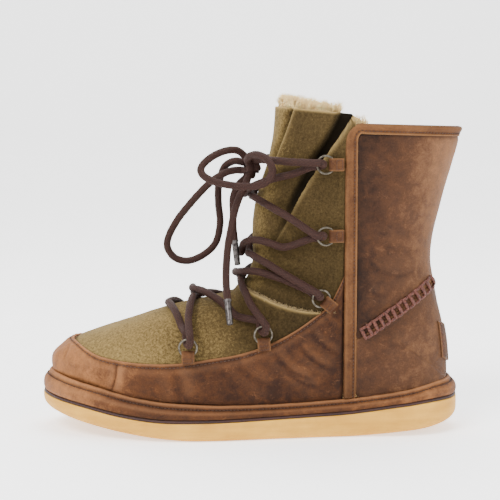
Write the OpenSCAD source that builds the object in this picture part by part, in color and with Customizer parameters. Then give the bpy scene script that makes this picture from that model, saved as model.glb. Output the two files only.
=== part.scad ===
// Lace-up sheepskin moccasin boot for a left foot, standing on its sole.
// The toe points to -X, the heel to +X, the outer side of the foot to -Y, and +Z is up.
// The origin is the middle of the boot's footprint, on the ground.

/* [Leather] */
// Thickness of the brown leather panels
leather_t = 2; // [1.4:0.1:2.2]
// Thickness of the suede panels
suede_t = 1.6; // [1:0.1:2]
// Thickness of the folded binding
binding_t = 2.7; // [2.2:0.1:3.2]
// Width of the binding down the front edge of the shaft
binding_w = 8; // [6:0.5:9]
// Height of the binding around the top of the shaft
rim_binding_w = 6.5; // [5:0.5:8]
// Thickness of the shearling lining, pile included
lining_t = 7; // [5:0.5:8]

/* [Sole] */
// Thickness of the dark stripe above the outsole
stripe_t = 2; // [1:0.5:3]
// Thickness of the insole board
board_t = 2; // [1:0.5:3]
// Thickness of the sheepskin footbed
footbed_t = 6; // [4:1:8]

/* [Rings and tabs] */
// Outside diameter of a lace ring
ring_od = 12.5; // [12:0.1:13]
// Wire diameter of a lace ring
ring_wire = 1.3; // [1.1:0.1:1.4]
// Width of the strap that holds a ring
strap_w = 8; // [7:0.5:8]
// Thickness of one layer of that strap
strap_t = 0.8; // [0.6:0.1:0.9]

/* [Lace] */
// Diameter of the round lace
lace_d = 4.8; // [4.2:0.1:4.9]
// Diameter of the sleeve at each lace end
aglet_d = 4.2; // [3.8:0.1:4.6]
// Length of that sleeve
aglet_l = 16; // [10:1:20]

/* [Heel seam] */
// Number of hand stitches on each side of the heel seam
seam_stitches = 13; // [8:1:16]
// Length of one hand stitch
stitch_l = 7; // [5:0.5:8]

/* [Hidden] */
$fn = 48;

BROWN = "#7b5038";
SUEDE = "#6f6340";
TAN = "#a9794f";
CREAM = "#e3cd98";
FLEECE = "#d9c39c";
LACE = "#4a2e2a";

// The outside of the upper: one row for each section of the foot, fanned from the toe tip over
// the instep and up the shaft. A section runs from a ridge point at the front or top to a base
// point at the feather edge or at the back seam.
// Columns: ridge x, z, y; base x, z; half width lateral, medial; how far the section swings
// forward around the toe, lateral, medial; share of the width kept at the base, lateral,
// medial; where along the section it is widest; squareness of its upper part; how far its lower
// part turns inwards, in degrees.
LAST = [
    [-104, 62.7, 8, -104, 37.5, -8, 8, -28, -28, 1, 1, 0.7, 3, 60],
    [-103.5, 62.9, 8, -103.5, 36.5, 6, 21, -24.5, -24, 1, 1, 0.7, 2.9, 60],
    [-100, 64, 7.5, -100, 34.5, 19.5, 33, -15, -14, 1, 1, 0.7, 2.7, 60],
    [-93, 66.6, 6.5, -93, 31.5, 31, 41, -5, -5, 0.98, 0.98, 0.7, 2.5, 60],
    [-80, 71, 5, -80, 27.5, 39, 45, 0, 0, 0.97, 0.97, 0.7, 2.3, 60],
    [-62, 77, 3.5, -62, 24.5, 42.5, 45.5, 0, 0, 0.97, 0.96, 0.7, 2.2, 60],
    [-43, 82.5, 2, -43, 22.5, 43.5, 43, 0, 0, 0.97, 0.96, 0.7, 2.2, 60],
    [-24, 87, 2, -22, 21.5, 42.5, 39.5, 0, 0, 0.97, 0.95, 0.7, 2.2, 60],
    [-9, 92, 2, 8, 21, 39.5, 37.5, 0, 0, 0.95, 0.86, 0.66, 2.2, 60],
    [-0.5, 101, 2, 44, 22, 36.5, 37.5, 0, 0, 0.88, 0.8, 0.6, 2.2, 60],
    [2.5, 113, 2, 80, 25, 34.5, 37.5, 0, 0, 0.84, 0.82, 0.52, 2.2, 60],
    [2.5, 123, 2, 108, 29.5, 34, 38, 0, 0, 0.77, 0.74, 0.46, 2.2, 64],
    [2.3, 129, 2, 121, 32.5, 34, 38, 0, 0, 0.62, 0.6, 0.45, 2.2, 71],
    [2.3, 134, 2, 129, 34.5, 34, 38, 0, 0, 0.36, 0.36, 0.45, 2.2, 80],
    [2.5, 139, 2, 131.8, 36.5, 34, 38, 0, 0, 0, 0, 0.45, 2.2, 90],
    [4, 149, 2, 130, 60, 34.5, 38.5, 0, 0, 0, 0, 0.47, 2.2, 90],
    [7.5, 162, 2, 124, 88, 35, 39, 0, 0, 0, 0, 0.5, 2.2, 90],
    [12, 177, 2, 120, 115, 35, 39, 0, 0, 0, 0, 0.5, 2.2, 90],
    [14.5, 192, 2, 126, 148, 35.5, 39.5, 0, 0, 0, 0, 0.5, 2.2, 90],
    [15.5, 205, 2, 135, 180, 36, 40, 0, 0, 0, 0, 0.5, 2.2, 90],
    [16, 212, 2, 139.8, 199.5, 36, 40, 0, 0, 0, 0, 0.5, 2.2, 90]];
// Section at the top of the shaft
TOP = len(LAST) - 1;
// Share of a section that is its upper part
CROWN = 0.62;
// How far the front of the toe droops as it swings forward
TOE_DROOP = 0.345;

// Outline of the sole seen from above, from the toe along the outer side and back
PLAN = [
    [-137, 8], [-128, -16], [-105, -35], [-65, -47], [-25, -48], [20, -41], [65, -35],
    [105, -33], [130, -20], [138, 2], [130, 23], [105, 35], [60, 35], [15, 36], [-25, 43],
    [-65, 50], [-100, 46], [-125, 30]];
// Heights along the sole: its underside, the top of the stripe and the feather edge
GROUND_Z = [[-137, 15], [-108, 9.5], [-83, 5], [-58, 1.7], [-30, 0], [60, 0], [98, 2.7],
    [117, 4.6], [138, 9]];
STRIPE_Z = [[-137, 25], [-108, 21.8], [-83, 17.3], [-58, 14.4], [-32, 14], [0, 14.5],
    [34, 15.7], [67, 17.3], [98, 21.4], [128, 24], [138, 24]];
FEATHER_Z = [[-132, 37], [-115, 34], [-98, 31], [-80, 27], [-62, 24], [-43, 22], [-22, 21],
    [8, 20.5], [44, 21.5], [80, 24.5], [108, 29], [121, 32], [132, 33]];

// Panel edges seen from the side, as [x, z]
MUDGUARD_EDGE = [[-118, 58.4], [-114, 58], [-97, 52.6], [-80, 50.3], [-63, 49.4], [-44, 50],
    [-24, 52.6], [-5, 55.5], [9, 59.7], [27, 68], [43, 79], [52, 87], [62, 107]];
INSTEP_SEAM = [[-10, 96.5], [8, 89.8], [23, 84.3], [36, 81.5], [50, 80.5]];
// Front edge of the shaft's binding
BINDING_X = 61;
// Top edge of the binding at its front corner and at the back
RIM_FRONT_Z = 201;
RIM_BACK_Z = 198.5;
// Radius of the binding's front corner
CORNER_R = 11;
// Middle of the heel seam at the binding and at the back
SEAM_LOW = [72, 66];
SEAM_HIGH = [121, 99];
// Gap between neighbouring panels, as a share of a section or a station
JOIN = 0.006;
// Gap between layers, and between the layers of the sole
AIR = 0.4;
LAYER_GAP = 0.1;
// Half the gap along the instep seam, in stations
SEAM_GAP = 0.03;
// Share of a section just short of the seam down the back
BACK_V = 0.993;
// Stations where the heel counter's panels start and end
COUNTER_START = 9.75;
COUNTER_END = 16.4;
// How far the suede lies below the brown leather, and how far the binding stands above it
SUEDE_DROP = 0.2;
BINDING_RISE = 0.5;
// Room between the leather and the lining, and the stiffeners in it
STIFFENER_ROOM = 2;
STIFFENER_GAP = 0.6;
STIFFENER_T = 0.9;
// Stations where the vamp's and the heel's pieces of lining end, and the gap between pieces
VAMP_LINING_END = 9;
HEEL_LINING_END = 15.5;
LINING_SEAM = 0.05;
// Width of the foxing, and how far the insole lies inside the sole's outline
FOXING_W = 9;
INSOLE_INSET = 18;
// Diameter of a hand stitch, and thickness of the heel patch
STITCH_D = 2;
PATCH_T = 1.6;
LATERAL = -1;
MEDIAL = 1;

// Where each ring's centre is, seen from the side: x, z, the direction that its tab points,
// turned from +X towards +Z, and the tab's length behind the ring's centre, lowest pair first
RING_SEATS = [[-38, 59.5, 90, 10.5], [9, 67, 95, 10.5], [46, 90.5, 140, 11],
    [49, 130, 180, 11.5], [49, 175, 180, 11.5]];
RINGS = len(RING_SEATS);
// Height of a tab's mid-plane above the last at its root, and of the ring's far wire
TAB_ROOT_H = 2.5;
RING_H = 7.3;
// How far the strap's slot reaches behind the ring's centre, where its front end is, and its
// height
SLOT_BACK = 6.9;
SLOT_FRONT = 2.75;
SLOT_H = 2.1;
ring_r = (ring_od - ring_wire) / 2;

// Stations where the two sides of the lace cross on the ridge: bar, 1-2, 2-3, 3-4 and 4-5
CROSSINGS = [5.5, 6.4, 8.7, 10.2, 15.3];
lace_r = lace_d / 2;
// Height of a lace above the last where it lies on the suede, and where it passes over another
low_h = lace_r + 0.3 - SUEDE_DROP;
high_h = low_h + lace_d + 0.2;
// Half height and half depth of the lace's turn through a ring
TURN_H = 4.6;
TURN_X = 3.85;
// How far apart, to each side, the strands leave a ring
TURN_SPREAD = 1.4;
// Height of a strand as it leaves a ring from above
UPPER_START_H = 11;
// How far past the ring's wire the strands run on before they bend away
TURN_LEAD = 2.5;
// Points on half a strand, less one
STRAND_STEPS = 7;

// Bow: the knot and the routes of its loops and hanging ends
KNOT = [2, -3, 172];
KNOT_R = 9;
KNOT_SCALE = [0.8, 1, 0.9];
// Where the lace's two sides enter the knot, from its middle and apart from that
KNOT_ENTRY = [4, 0, -1];
KNOT_APART = 4.5;
// Station of the ridge behind the knot, and the height of the lace as it reaches it
KNOT_STATION = 16.7;
KNOT_H = 8;
LOOP_LATERAL = [
    [-1, -5, 178], [-7, -8, 183], [-15, -14, 183], [-24, -20, 179], [-30, -24, 173],
    [-29, -27, 168], [-22, -29, 164], [-13, -31, 162], [-3, -33, 161], [7, -36, 162],
    [13, -39, 166], [15, -40, 172], [12, -36, 178], [6, -29, 181], [1, -21, 180],
    [-1, -13, 177]];
LOOP_MEDIAL = [
    [-3, 1, 175], [-9, 2, 176], [-15, 5, 173], [-18, 7, 167], [-20, 9, 158], [-20, 11, 147],
    [-19, 12, 134], [-22, 12, 121], [-30, 12, 113], [-40, 11, 109], [-49, 10, 111],
    [-54, 9, 118], [-53, 8, 126], [-47, 6, 137], [-40, 4, 146], [-33, 2, 154], [-25, 0, 162],
    [-16, -2, 168], [-9, -2, 170], [-4, -2, 170]];
END_LATERAL = [
    [0, -10, 167], [-2, -15, 161], [-6, -20, 153], [-9, -23, 144], [-11, -25, 134],
    [-13, -29, 123], [-14, -34, 111], [-14, -40, 100], [-13, -45, 90]];
END_MEDIAL = [
    [-2, -3, 165], [-7, -5, 160], [-10, -6, 152], [-10, -6, 143], [-10, -7, 133],
    [-9, -8, 124]];

// ---- Maths ----

function mix(a, b, t) = a + (b - a) * t;
function clamp(x, low, high) = min(max(x, low), high);
function unit(v) = v / norm(v);

// Smooth curve from b to c, with a and d as its neighbours
function curve(a, b, c, d, t) =
    (2 * b + (c - a) * t + (2 * a - 5 * b + 4 * c - d) * t * t
    + (3 * b - a - 3 * c + d) * t * t * t) / 2;

// ---- Surface of the last ----

function station(s) = let (
    i = min(floor(clamp(s, 0, TOP)), TOP - 1))
    curve(LAST[max(i - 1, 0)], LAST[i], LAST[i + 1], LAST[min(i + 2, TOP)], s - i);

// Point of the last at station s; q runs from -1 at the lateral base over 0 at the ridge to 1
// at the medial base
function skin(s, q) = let (
    r = station(s),
    v = abs(q),
    crown = 90 * clamp(v / CROWN, 0, 1),
    foot = r[13] * clamp((v - CROWN) / (1 - CROWN), 0, 1),
    width = q < 0 ? -(r[5] + r[2]) : r[6] - r[2],
    swing = q < 0 ? r[7] : r[8],
    kept = q < 0 ? r[9] : r[10],
    along = v < CROWN ? r[11] * (1 - pow(cos(crown), 2 / r[12]))
        : r[11] + (1 - r[11]) * sin(foot) / sin(r[13]),
    out = v < CROWN ? pow(sin(crown), 2 / r[12])
        : kept + (1 - kept) * (cos(foot) - cos(r[13])) / (1 - cos(r[13])))
    [mix(r[0], r[3], along) + swing * out,
     r[2] + width * out,
     mix(r[1], r[4], along) + TOE_DROOP * swing * out * (1 - along)];

// Outward normal of the last
function normal(s, q) = let (
    ds = 0.02,
    dq = 0.004,
    over_s = skin(min(s + ds, TOP), q) - skin(max(s - ds, 0), q),
    over_q = skin(s, min(q + dq, 1)) - skin(s, max(q - dq, -1)),
    n = cross(over_s, over_q))
    s < 1 && abs(q) < 0.05 ? unit([-0.33, 0, 0.94])
        : s == 0 ? unit([n[0], 0, n[2]]) : unit(n);

function lift(s, q, h) = skin(s, q) + h * normal(s, q);

// Where f passes from below to above zero, found by halving the interval
function solve(f, low, high, steps = 14) = let (middle = (low + high) / 2)
    steps == 0 ? middle
        : f(middle) > 0 ? solve(f, low, middle, steps - 1)
        : solve(f, middle, high, steps - 1);

// Height of a point above the panel edges, and above the top of the quarter
function above_mudguard(p) = p[2] - lookup(p[0], MUDGUARD_EDGE);
function above_instep_seam(p) = p[2] - lookup(p[0], INSTEP_SEAM);
function above_heel_seam(p) = p[2]
    - mix(SEAM_LOW[1], SEAM_HIGH[1], (p[0] - SEAM_LOW[0]) / (SEAM_HIGH[0] - SEAM_LOW[0]));
function above_rim(p) = p[2] - mix(RIM_FRONT_Z, RIM_BACK_Z, (p[0] - BINDING_X) / 80);

// Shares of a section where it meets the panel edges
function mudguard_v(s, side) = solve(function (v) -above_mudguard(skin(s, side * v)), 0, 1);
function binding_v(s, side, x) = solve(function (v) skin(s, side * v)[0] - x, 0.3, 1);
function heel_seam_v(s, side) =
    solve(function (v) -above_heel_seam(skin(s, side * v)), 0.4, 1);
// Station where a line of constant share meets the instep seam, and the height below the rim
function instep_s(v, side) =
    solve(function (s) above_instep_seam(skin(s, side * v)), 7, 11.5);
function below_rim_s(v, side, drop) =
    solve(function (s) above_rim(skin(s, side * v)) + drop, 16.5, TOP);

// Station and share of the point that has these x and z on one side, by Newton's method
function seat(x, z, side, guess = [16, 0.7], steps = 7) =
    steps == 0 ? guess
        : let (
            s = guess[0],
            v = guess[1],
            e = 0.001,
            here = skin(s, side * v),
            by_s = (skin(s + e, side * v) - here) / e,
            by_v = (skin(s, side * (v + e)) - here) / e,
            det = by_s[0] * by_v[2] - by_s[2] * by_v[0],
            dx = x - here[0],
            dz = z - here[2],
            step_s = (dx * by_v[2] - dz * by_v[0]) / det,
            step_v = (by_s[0] * dz - by_s[2] * dx) / det)
          seat(x, z, side,
            [clamp(s + clamp(step_s, -2, 2), 0.1, TOP - 0.01),
             clamp(v + clamp(step_v, -0.2, 0.2), 0.05, 0.996)], steps - 1);

// ---- Solid builders ----

// Closed shell between two heights over a patch of the last. chart(u, w) gives the station and
// the signed share for u and w from 0 to 1; low(spot) and high(spot) give the two heights.
// toe_closed joins the two halves of the edge u = 0, and back_row is the row from which the
// edges w = 0 and w = 1 are one.
module panel(chart, low, high, n, m, flip = false, toe_closed = false, back_row = 1000) {
    spots = [for (i = [0:n]) for (j = [0:m]) chart(i / n, j / m)];
    points = concat(
        [for (p = spots) lift(p[0], p[1], high(p))],
        [for (p = spots) lift(p[0], p[1], low(p))]);
    // Number of a grid point, where k is 0 on the outer face and 1 on the inner one
    function at(i, j, k) = let (
        jj = toe_closed && i == 0 && j > m / 2 ? m - j : i >= back_row && j == m ? 0 : j)
        k * len(spots) + i * (m + 1) + jj;
    skins = [for (i = [0:n - 1]) for (j = [0:m - 1]) each [
        [at(i, j, 0), at(i + 1, j + 1, 0), at(i + 1, j, 0)],
        [at(i, j, 0), at(i, j + 1, 0), at(i + 1, j + 1, 0)],
        [at(i, j, 1), at(i + 1, j, 1), at(i + 1, j + 1, 1)],
        [at(i, j, 1), at(i + 1, j + 1, 1), at(i, j + 1, 1)]]];
    sides = [for (i = [0:min(n, back_row) - 1]) each [
        [at(i, 0, 0), at(i + 1, 0, 0), at(i + 1, 0, 1)],
        [at(i, 0, 0), at(i + 1, 0, 1), at(i, 0, 1)],
        [at(i, m, 0), at(i + 1, m, 1), at(i + 1, m, 0)],
        [at(i, m, 0), at(i, m, 1), at(i + 1, m, 1)]]];
    first = toe_closed ? [] : [for (j = [0:m - 1]) each [
        [at(0, j, 0), at(0, j + 1, 1), at(0, j + 1, 0)],
        [at(0, j, 0), at(0, j, 1), at(0, j + 1, 1)]]];
    final = [for (j = [0:m - 1]) each [
        [at(n, j, 0), at(n, j + 1, 0), at(n, j + 1, 1)],
        [at(n, j, 0), at(n, j + 1, 1), at(n, j, 1)]]];
    // Triangles that the joined edges leave without an area are dropped
    faces = [for (f = concat(skins, sides, first, final))
        if (f[0] != f[1] && f[1] != f[2] && f[2] != f[0]) f];
    polyhedron(points, flip ? [for (f = faces) [f[2], f[1], f[0]]] : faces);
}

function flat(h) = function (p) h;

// Direction across a tube, carried along its route without twisting
function carry(across, along) = unit(across - along * (across * along));

// Round tube swept along a route
module tube(route, r, sides = 8) {
    last = len(route) - 1;
    along = [for (i = [0:last]) unit(route[min(i + 1, last)] - route[max(i - 1, 0)])];
    start = carry(abs(along[0][1]) < 0.9 ? [0, 1, 0] : [0, 0, 1], along[0]);
    across = [for (i = 0, a = start; i <= last;
        i = i + 1, a = i <= last ? carry(a, along[i]) : a) a];
    points = [for (i = [0:last]) for (k = [0:sides - 1])
        let (turn = 360 * k / sides)
        route[i] + r * (cos(turn) * across[i] + sin(turn) * cross(along[i], across[i]))];
    wall = [for (i = [0:last - 1]) for (k = [0:sides - 1])
        let (a = i * sides + k, b = i * sides + (k + 1) % sides)
        each [[a, a + sides, b + sides], [a, b + sides, b]]];
    polyhedron(points, concat(
        [[for (k = [0:sides - 1]) k]],
        [[for (k = [sides - 1:-1:0]) last * sides + k]],
        wall));
}

// Points of the sole's outline, drawn in by a distance
PLAN_STEPS = 4;
PLAN_N = len(PLAN) * PLAN_STEPS;
function plan_point(i) = let (
    n = len(PLAN),
    k = floor(i / PLAN_STEPS))
    curve(PLAN[(k + n - 1) % n], PLAN[k % n], PLAN[(k + 1) % n], PLAN[(k + 2) % n],
        i / PLAN_STEPS - k);
function rim_point(i, inset) = let (
    t = plan_point((i + 1) % PLAN_N) - plan_point((i + PLAN_N - 1) % PLAN_N),
    out = unit([t[1], -t[0]]))
    plan_point(i) - inset * out;

// Layer of the sole: rings from the bottom up, each [inset, height function of x]
module sole_layer(rings) {
    n = PLAN_N;
    last = len(rings) - 1;
    points = [for (ring = rings) for (i = [0:n - 1])
        let (p = rim_point(i, ring[0])) [p[0], p[1], ring[1](p[0])]];
    wall = [for (k = [0:last - 1]) for (i = [0:n - 1])
        let (a = k * n + i, b = k * n + (i + 1) % n)
        each [[a, b + n, b], [a, a + n, b + n]]];
    cap = [for (i = [0:n / 2 - 1])
        let (a = i, b = i + 1, c = (n - i - 1) % n, d = (n - i) % n)
        each (i == 0 ? [[a, b, c]] : i == n / 2 - 1 ? [[a, b, d]] : [[a, b, c], [a, c, d]])];
    polyhedron(points, concat(wall, cap,
        [for (f = cap) [f[2] + last * n, f[1] + last * n, f[0] + last * n]]));
}

// Strip around the sole, from a closed profile of [inset, height function of x]
module sole_strip(profile) {
    n = PLAN_N;
    k = len(profile);
    points = [for (i = [0:n - 1]) for (q = profile)
        let (p = rim_point(i, q[0])) [p[0], p[1], q[1](p[0])]];
    polyhedron(points, [for (i = [0:n - 1]) for (j = [0:k - 1])
        let (a = i * k + j, b = i * k + (j + 1) % k,
             c = ((i + 1) % n) * k + j, d = ((i + 1) % n) * k + (j + 1) % k)
        each [[a, b, d], [a, d, c]]]);
}

ground_z = function (x) lookup(x, GROUND_Z);
stripe_top_z = function (x) lookup(x, STRIPE_Z);
feather_z = function (x) lookup(x, FEATHER_Z);
// Height above another height function
function raised(base, h) = function (x) base(x) + h;
// Height partway between the stripe and the feather edge
function foxing_z(share) = function (x) mix(stripe_top_z(x), feather_z(x), share);

// ---- Ring seats ----

// Frame of a ring seat: [centre, along the tab, across the strap, out of the ring's plane]
function ring_frame(i, side) = let (
    place = RING_SEATS[i],
    back = place[3],
    tilt = asin((RING_H - TAB_ROOT_H) / (back + ring_r)),
    aim = [cos(place[2]), 0, sin(place[2])],
    root = seat(place[0] - back * cos(tilt) * aim[0], place[1] - back * cos(tilt) * aim[2],
        side),
    n = normal(root[0], side * root[1]),
    flat = unit(aim - n * (aim * n)),
    along = cos(tilt) * flat + sin(tilt) * n,
    out = cos(tilt) * n - sin(tilt) * flat,
    centre = lift(root[0], side * root[1], TAB_ROOT_H) + back * along)
    [centre, along, cross(out, along), out];

function from_ring(f, x, y, z) = f[0] + x * f[1] + y * f[2] + z * f[3];

module in_ring_frame(i, side) {
    f = ring_frame(i, side);
    multmatrix([for (k = [0:2]) [f[1][k], f[2][k], f[3][k], f[0][k]]]) children();
}

// ---- Lace route ----

// Turn of the lace through a ring, from above it to below it
function turn_points(i, side) = let (f = ring_frame(i, side)) concat(
    [from_ring(f, ring_r + TURN_LEAD, side * TURN_SPREAD, TURN_H)],
    [for (a = [90:-30:-90])
        from_ring(f, ring_r - TURN_X * cos(a), side * TURN_SPREAD * sin(a), TURN_H * sin(a))],
    [from_ring(f, ring_r + TURN_LEAD, -side * TURN_SPREAD, -TURN_H)]);

// Half of a strand, from a ring to where it crosses the ridge
function half_strand(i, side, start_h, cross_s, cross_h) = let (
    place = seat(RING_SEATS[i][0], RING_SEATS[i][1], side))
    [for (k = [2:STRAND_STEPS]) let (t = k / STRAND_STEPS)
        lift(mix(place[0], cross_s, t), side * mix(place[1], 0, t), mix(start_h, cross_h, t))];

// The half that leaves a ring from above it and climbs, and the half that comes to it from
// below. A strand that ends under a lateral ring passes over the other one at the ridge.
function upper_half(i, side) =
    half_strand(i, side, UPPER_START_H, CROSSINGS[i + 1], side > 0 ? high_h : low_h);
function lower_half(i, side) =
    half_strand(i, side, low_h, CROSSINGS[i], i > 0 && side < 0 ? high_h : low_h);

// The lace from the ridge above a ring, down through it and on to the ridge below
function passage(i, side) = concat(
    reversed(upper_half(i, side)), turn_points(i, side), lower_half(i, side));
function without_last(list) = [for (i = [0:len(list) - 2]) list[i]];
function reversed(list) = [for (i = [len(list) - 1:-1:0]) list[i]];

// From the knot to the bar across the toe, through the rings on alternate sides
function lace_side(side) = let (
    top = seat(RING_SEATS[RINGS - 1][0], RING_SEATS[RINGS - 1][1], side),
    to_knot = [for (k = [2:STRAND_STEPS - 1]) let (t = k / STRAND_STEPS)
        lift(mix(top[0], KNOT_STATION, t), side * mix(top[1], 0, t),
            mix(UPPER_START_H, KNOT_H, t))],
    knot_end = KNOT + KNOT_ENTRY + [0, side * KNOT_APART, 0])
    [for (i = [RINGS - 1:-1:0])
        let (here = (RINGS - 1 - i) % 2 == 0 ? side : -side,
             points = i == RINGS - 1
                ? concat([knot_end], reversed(to_knot), turn_points(i, here), lower_half(i, here))
                : passage(i, here))
        each without_last(points)];

// ---- Sub-parts: sole ----

module outsole() {
    color(CREAM) sole_layer([
        [4, ground_z], [1, raised(ground_z, 1.2)], [0, raised(ground_z, 4)],
        [0, raised(stripe_top_z, -stripe_t - LAYER_GAP)]]);
}

module rand_stripe() {
    color(LACE) sole_layer([
        [0.6, raised(stripe_top_z, -stripe_t)], [0.6, raised(stripe_top_z, -LAYER_GAP)]]);
}

module midsole_core() {
    color(CREAM) sole_layer([[FOXING_W + 0.3, stripe_top_z], [FOXING_W + 0.3, feather_z]]);
}

module leather_foxing() {
    color(TAN) sole_strip([
        [FOXING_W, foxing_z(0)], [1, foxing_z(0)], [0, foxing_z(0.35)], [0.6, foxing_z(0.7)],
        [2.2, foxing_z(0.94)], [4, foxing_z(1)], [FOXING_W, foxing_z(1)]]);
}

module insole_board() {
    color(CREAM) sole_layer([
        [INSOLE_INSET, raised(feather_z, LAYER_GAP)],
        [INSOLE_INSET, raised(feather_z, LAYER_GAP + board_t)]]);
}

module footbed() {
    color(FLEECE) sole_layer([
        [INSOLE_INSET + 0.5, raised(feather_z, board_t + 2 * LAYER_GAP)],
        [INSOLE_INSET + 0.5, raised(feather_z, board_t + footbed_t - 1)],
        [INSOLE_INSET + 2.5, raised(feather_z, board_t + footbed_t)]]);
}

// ---- Sub-parts: upper ----

// Signed position from -1 to 1 and its side, for a chart that crosses the middle of the boot
function across(w) = 2 * w - 1;
function half(k) = k <= 0 ? -1 : 1;

// Heights of the outer faces of the stiffeners and of the lining
function stiffener_h() = -leather_t - STIFFENER_GAP;
function lining_h() = -leather_t - STIFFENER_ROOM;

module vamp_lining() {
    color(FLEECE) panel(
        function (u, w) [u * VAMP_LINING_END, across(w) * 0.999],
        function (p) lining_h() - lining_t * mix(0.6, 1, clamp(p[0] / 5, 0, 1)),
        flat(lining_h()), 18, 24, toe_closed = true);
}

// Sheepskin on one side of the leg or heel, from one station to another
module side_lining(side, start, end, n) {
    color(FLEECE) panel(
        function (u, w) [mix(start, end, u), side * mix(1 - BACK_V, BACK_V, w)],
        flat(lining_h() - lining_t), flat(lining_h()), n, 12, flip = side < 0);
}

module heel_lining(side) {
    side_lining(side, VAMP_LINING_END + LINING_SEAM, HEEL_LINING_END, 13);
}

module shaft_lining(side) {
    side_lining(side, HEEL_LINING_END + LINING_SEAM, TOP, 9);
}

module toe_stiffener() {
    color(CREAM) panel(
        function (u, w) let (k = across(u)) [abs(k) * 3.4, half(k) * mix(0.35, 0.99, w)],
        flat(stiffener_h() - STIFFENER_T), flat(stiffener_h()), 20, 6);
}

module heel_stiffener() {
    color(CREAM) panel(
        function (u, w) let (k = across(w)) [mix(14.05, 15.7, u), half(k) * (1 - abs(k) * 0.33)],
        flat(stiffener_h() - STIFFENER_T), flat(stiffener_h()), 6, 16, flip = true);
}

// Point of the mudguard: w runs from its top edge to the feather edge
function mudguard_point(s, w, side) = [s, side * mix(mudguard_v(s, side) + JOIN, 1, w)];
function mudguard_end(w, side) = solve(function (s)
    let (p = mudguard_point(s, w, side)) skin(p[0], p[1])[0] - BINDING_X + AIR, 8, 16);

module mudguard() {
    color(BROWN) panel(
        function (u, w) let (k = across(u), side = half(k))
            mudguard_point(abs(k) * mudguard_end(w, side), w, side),
        flat(-leather_t), flat(0), 44, 6);
}

// Share of a section at the edge of the suede, and the station of the instep seam there
function suede_v(s, side) =
    min(mudguard_v(s, side), binding_v(s, side, BINDING_X - AIR)) - JOIN;
function seam_s(k, side, s = 9, steps = 4) = steps == 0 ? s
    : seam_s(k, side, instep_s(k * suede_v(s, side), side), steps - 1);

module vamp_plug() {
    color(SUEDE) panel(
        function (u, w) let (
            k = across(w),
            side = half(k),
            s = u * (seam_s(abs(k), side) - SEAM_GAP))
            [s, k * suede_v(s, side)],
        flat(-SUEDE_DROP - suede_t), flat(-SUEDE_DROP), 20, 20, toe_closed = true);
}

module front_panel() {
    color(SUEDE) panel(
        function (u, w) let (
            k = across(w),
            side = half(k),
            s = mix(seam_s(abs(k), side) + SEAM_GAP, TOP, u))
            [s, k * suede_v(s, side)],
        flat(-SUEDE_DROP - suede_t), flat(-SUEDE_DROP), 14, 20);
}

// Front edge of the brown quarter and of the heel counter
function quarter_v(s, side) = binding_v(s, side, BINDING_X + binding_w + AIR);
function quarter_start(side) =
    solve(function (s) heel_seam_v(s, side) - quarter_v(s, side), 9.5, 14) + 0.15;
function quarter_top(w, side, s = 19, steps = 3) = steps == 0 ? s
    : quarter_top(w, side,
        below_rim_s(mix(quarter_v(s, side), 1, w), side, rim_binding_w + AIR), steps - 1);

module quarter(side) {
    color(BROWN) panel(
        function (u, w) let (s = mix(quarter_start(side), quarter_top(w, side), u))
            [s, side * mix(quarter_v(s, side), min(heel_seam_v(s, side), BACK_V), w)],
        flat(-leather_t), flat(0), 16, 8, flip = side < 0);
}

module counter(side) {
    color(BROWN) panel(
        function (u, w) let (
            s = mix(COUNTER_START, COUNTER_END, u),
            start = max(quarter_v(s, side), heel_seam_v(s, side) + JOIN),
            end = s > 13.9 ? BACK_V : 1)
            [s, side * mix(min(start, end - JOIN), end, w)],
        flat(-leather_t), flat(0), 16, 8, flip = side < 0);
}

// Spot of the binding: u runs up its front, round the corner and back along the rim, and w
// from its outer edge to its inner edge
function binding_spot(u, w, side) = let (
    foot_z = 25,
    corner = [BINDING_X + CORNER_R, RIM_FRONT_Z - CORNER_R],
    turn = 90 * clamp((u - 0.35) / 0.25, 0, 1),
    x = corner[0] - (CORNER_R - w * binding_w) * cos(turn),
    z = u < 0.35 ? mix(foot_z, corner[1], u / 0.35)
        : corner[1] + (CORNER_R - w * rim_binding_w) * sin(turn),
    place = seat(x, z, side, z < 80 ? [11, 0.8] : [17, 0.6]),
    v = mix(place[1], BACK_V, clamp((u - 0.6) / 0.4, 0, 1)))
    u <= 0.6 ? [place[0], side * place[1]]
        : [below_rim_s(v, side, w * rim_binding_w), side * v];

module binding(side) {
    color(TAN) panel(function (u, w) binding_spot(u, w, side),
        flat(BINDING_RISE - binding_t), flat(BINDING_RISE), 20, 2, flip = side < 0);
}

module heel_patch() {
    color(BROWN) panel(
        function (u, w) let (k = across(w)) [mix(14.4, 15.3, u), half(k) * (1 - abs(k) * 0.1)],
        flat(AIR), flat(AIR + PATCH_T), 4, 8, flip = true);
}

module heel_seam_stitches(side) {
    run = unit([SEAM_HIGH[0] - SEAM_LOW[0], 0, SEAM_HIGH[1] - SEAM_LOW[1]]);
    color(LACE) for (k = [0:seam_stitches - 1]) {
        t = (k + 0.5) / seam_stitches;
        place = seat(mix(SEAM_LOW[0], SEAM_HIGH[0], t), mix(SEAM_LOW[1], SEAM_HIGH[1], t), side);
        n = normal(place[0], side * place[1]);
        across = unit(cross(n, run));
        along = cross(across, n);
        p = lift(place[0], side * place[1], STITCH_D / 2 + 0.2);
        multmatrix([for (i = [0:2]) [along[i], n[i], across[i], p[i]]])
            cylinder(d = STITCH_D, h = stitch_l, center = true, $fn = 24);
    }
}

// ---- Sub-parts: rings, tabs and lace ----

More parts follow.
